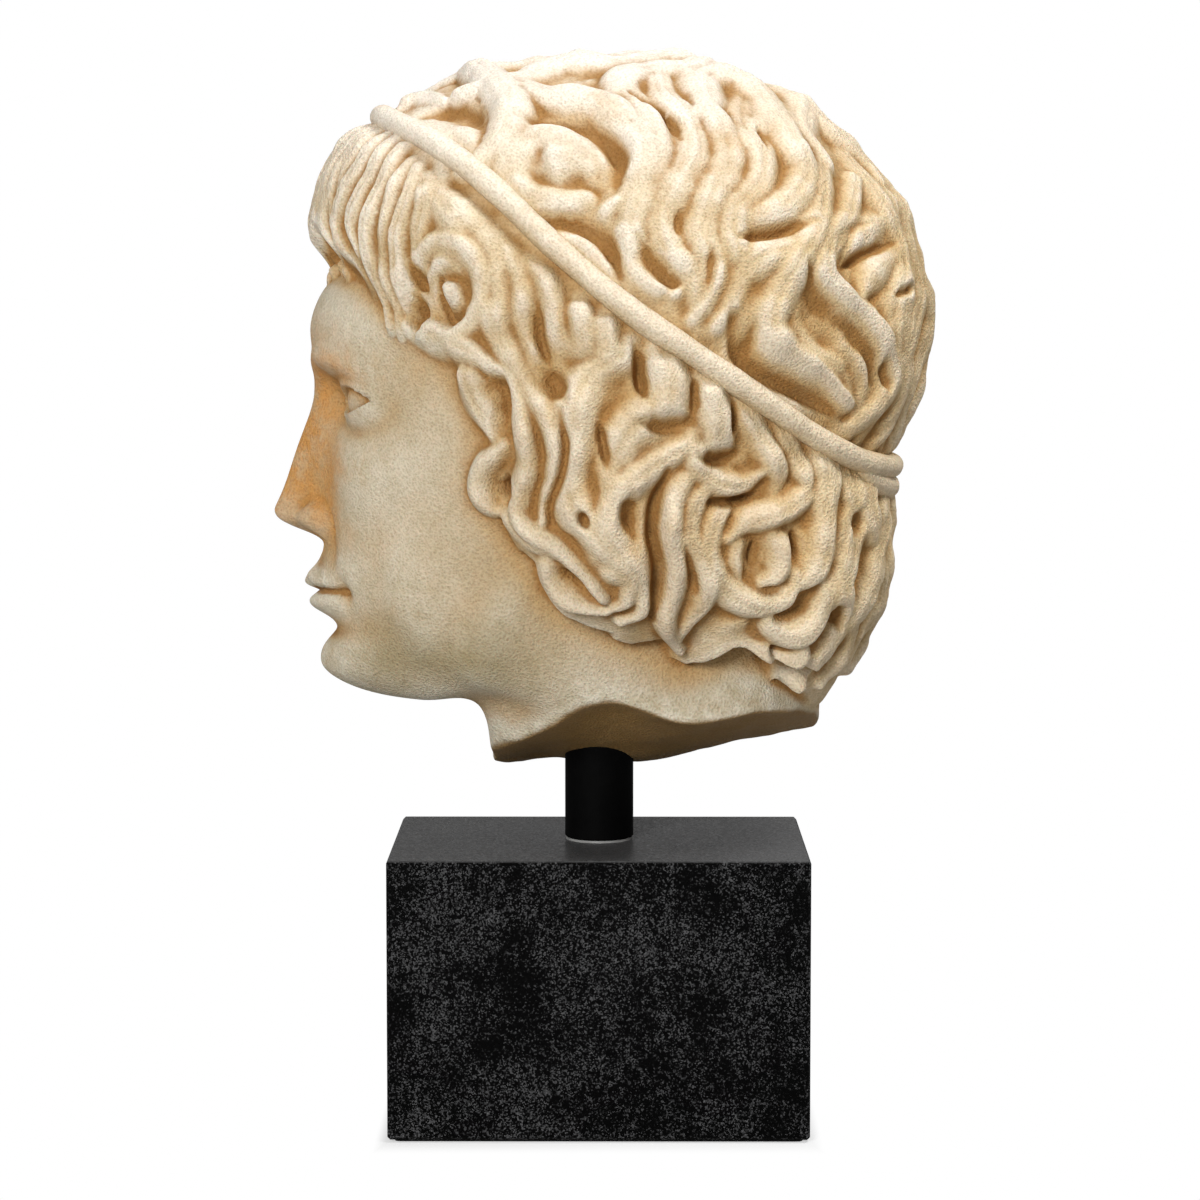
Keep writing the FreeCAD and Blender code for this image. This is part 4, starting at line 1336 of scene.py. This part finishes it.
floor_mesh = bpy.data.meshes.new("floor")
floor_mesh.from_pydata([(-6, -6, 0), (6, -6, 0), (6, 6, 0), (-6, 6, 0)], [], [(0, 1, 2, 3)])
floor = bpy.data.objects.new("floor", floor_mesh)
scene.collection.objects.link(floor)
floor_paint = Paint(
    "white_floor", Base_Color=(0.38, 0.38, 0.38, 1), Roughness=1.0, Specular_IOR_Level=0.0
)
lit = Wire(floor_paint, floor_paint.shader.outputs[0])
glow = floor_paint.make("ShaderNodeEmission", (1.0, 1.0, 1.0), 0.50)
white = floor_paint.make("ShaderNodeEmission", (1.0, 1.0, 1.0), 1.0)
near = floor_paint.make("ShaderNodeAddShader", lit, glow)
across, behind = (
    floor_paint.along(axis).maths("ABSOLUTE").rise(half, half + width)
    for axis, half, width in ((0, BLOCK_CORNER.x, 0.016), (1, BLOCK_CORNER.y, 0.005))
)
away = across.most(behind)
backdrop = floor_paint.make("ShaderNodeMixShader", away, near, white)
seen = floor_paint.make("ShaderNodeLightPath")
shown = floor_paint.make("ShaderNodeMixShader", seen, lit, backdrop)
floor_paint.tree.links.new(
    shown.socket, floor_paint.tree.nodes["Material Output"].inputs["Surface"]
)
floor_mesh.materials.append(floor_paint.material)


HEAD_MIDDLE = Vector((0, 0, 0.27))


def area_light(name, place, size, power):
    """A round soft light at a place, turned to face the head."""
    data = bpy.data.lights.new(name, "AREA")
    data.shape = "DISK"
    data.size = size
    data.energy = power
    light = bpy.data.objects.new(name, data)
    scene.collection.objects.link(light)
    light.location = place
    light.rotation_euler = (HEAD_MIDDLE - light.location).to_track_quat("-Z", "Y").to_euler()


area_light("key", (0.40, 0.65, 1.6), 0.6, 19)
area_light("front", (1.60, -0.58, 0.80), 0.7, 27)

world = bpy.data.worlds.new("studio")
world.use_nodes = True
nodes, links = world.node_tree.nodes, world.node_tree.links
nodes["Background"].inputs["Color"].default_value = (1, 1, 1, 1)
facing, split, brightness = (
    nodes.new("ShaderNodeTexCoord"), nodes.new("ShaderNodeSeparateXYZ"),
    nodes.new("ShaderNodeMapRange"),
)
links.new(facing.outputs["Generated"], split.inputs[0])
links.new(split.outputs["X"], brightness.inputs[0])
for number, value in ((1, -1.0), (2, 1.0), (3, 0.50), (4, 0.10)):
    brightness.inputs[number].default_value = value
links.new(brightness.outputs[0], nodes["Background"].inputs["Strength"])
white_wall = nodes.new("ShaderNodeBackground")
white_wall.inputs["Color"].default_value = (1, 1, 1, 1)
path_kind, mixed = nodes.new("ShaderNodeLightPath"), nodes.new("ShaderNodeMixShader")
links.new(path_kind.outputs["Is Camera Ray"], mixed.inputs[0])
links.new(nodes["Background"].outputs[0], mixed.inputs[1])
links.new(white_wall.outputs[0], mixed.inputs[2])
links.new(mixed.outputs[0], nodes["World Output"].inputs["Surface"])
scene.world = world

camera_data = bpy.data.cameras.new("camera")
camera_data.sensor_width = 36
camera_data.lens = 100.49
camera_data.shift_y = -0.05
camera = bpy.data.objects.new("camera", camera_data)
scene.collection.objects.link(camera)
camera.location = (1.2177, 0.0048, 0.3052)
camera.rotation_euler = (math.radians(90 - 4.438), 0, math.radians(90 + 0.212))
scene.camera = camera
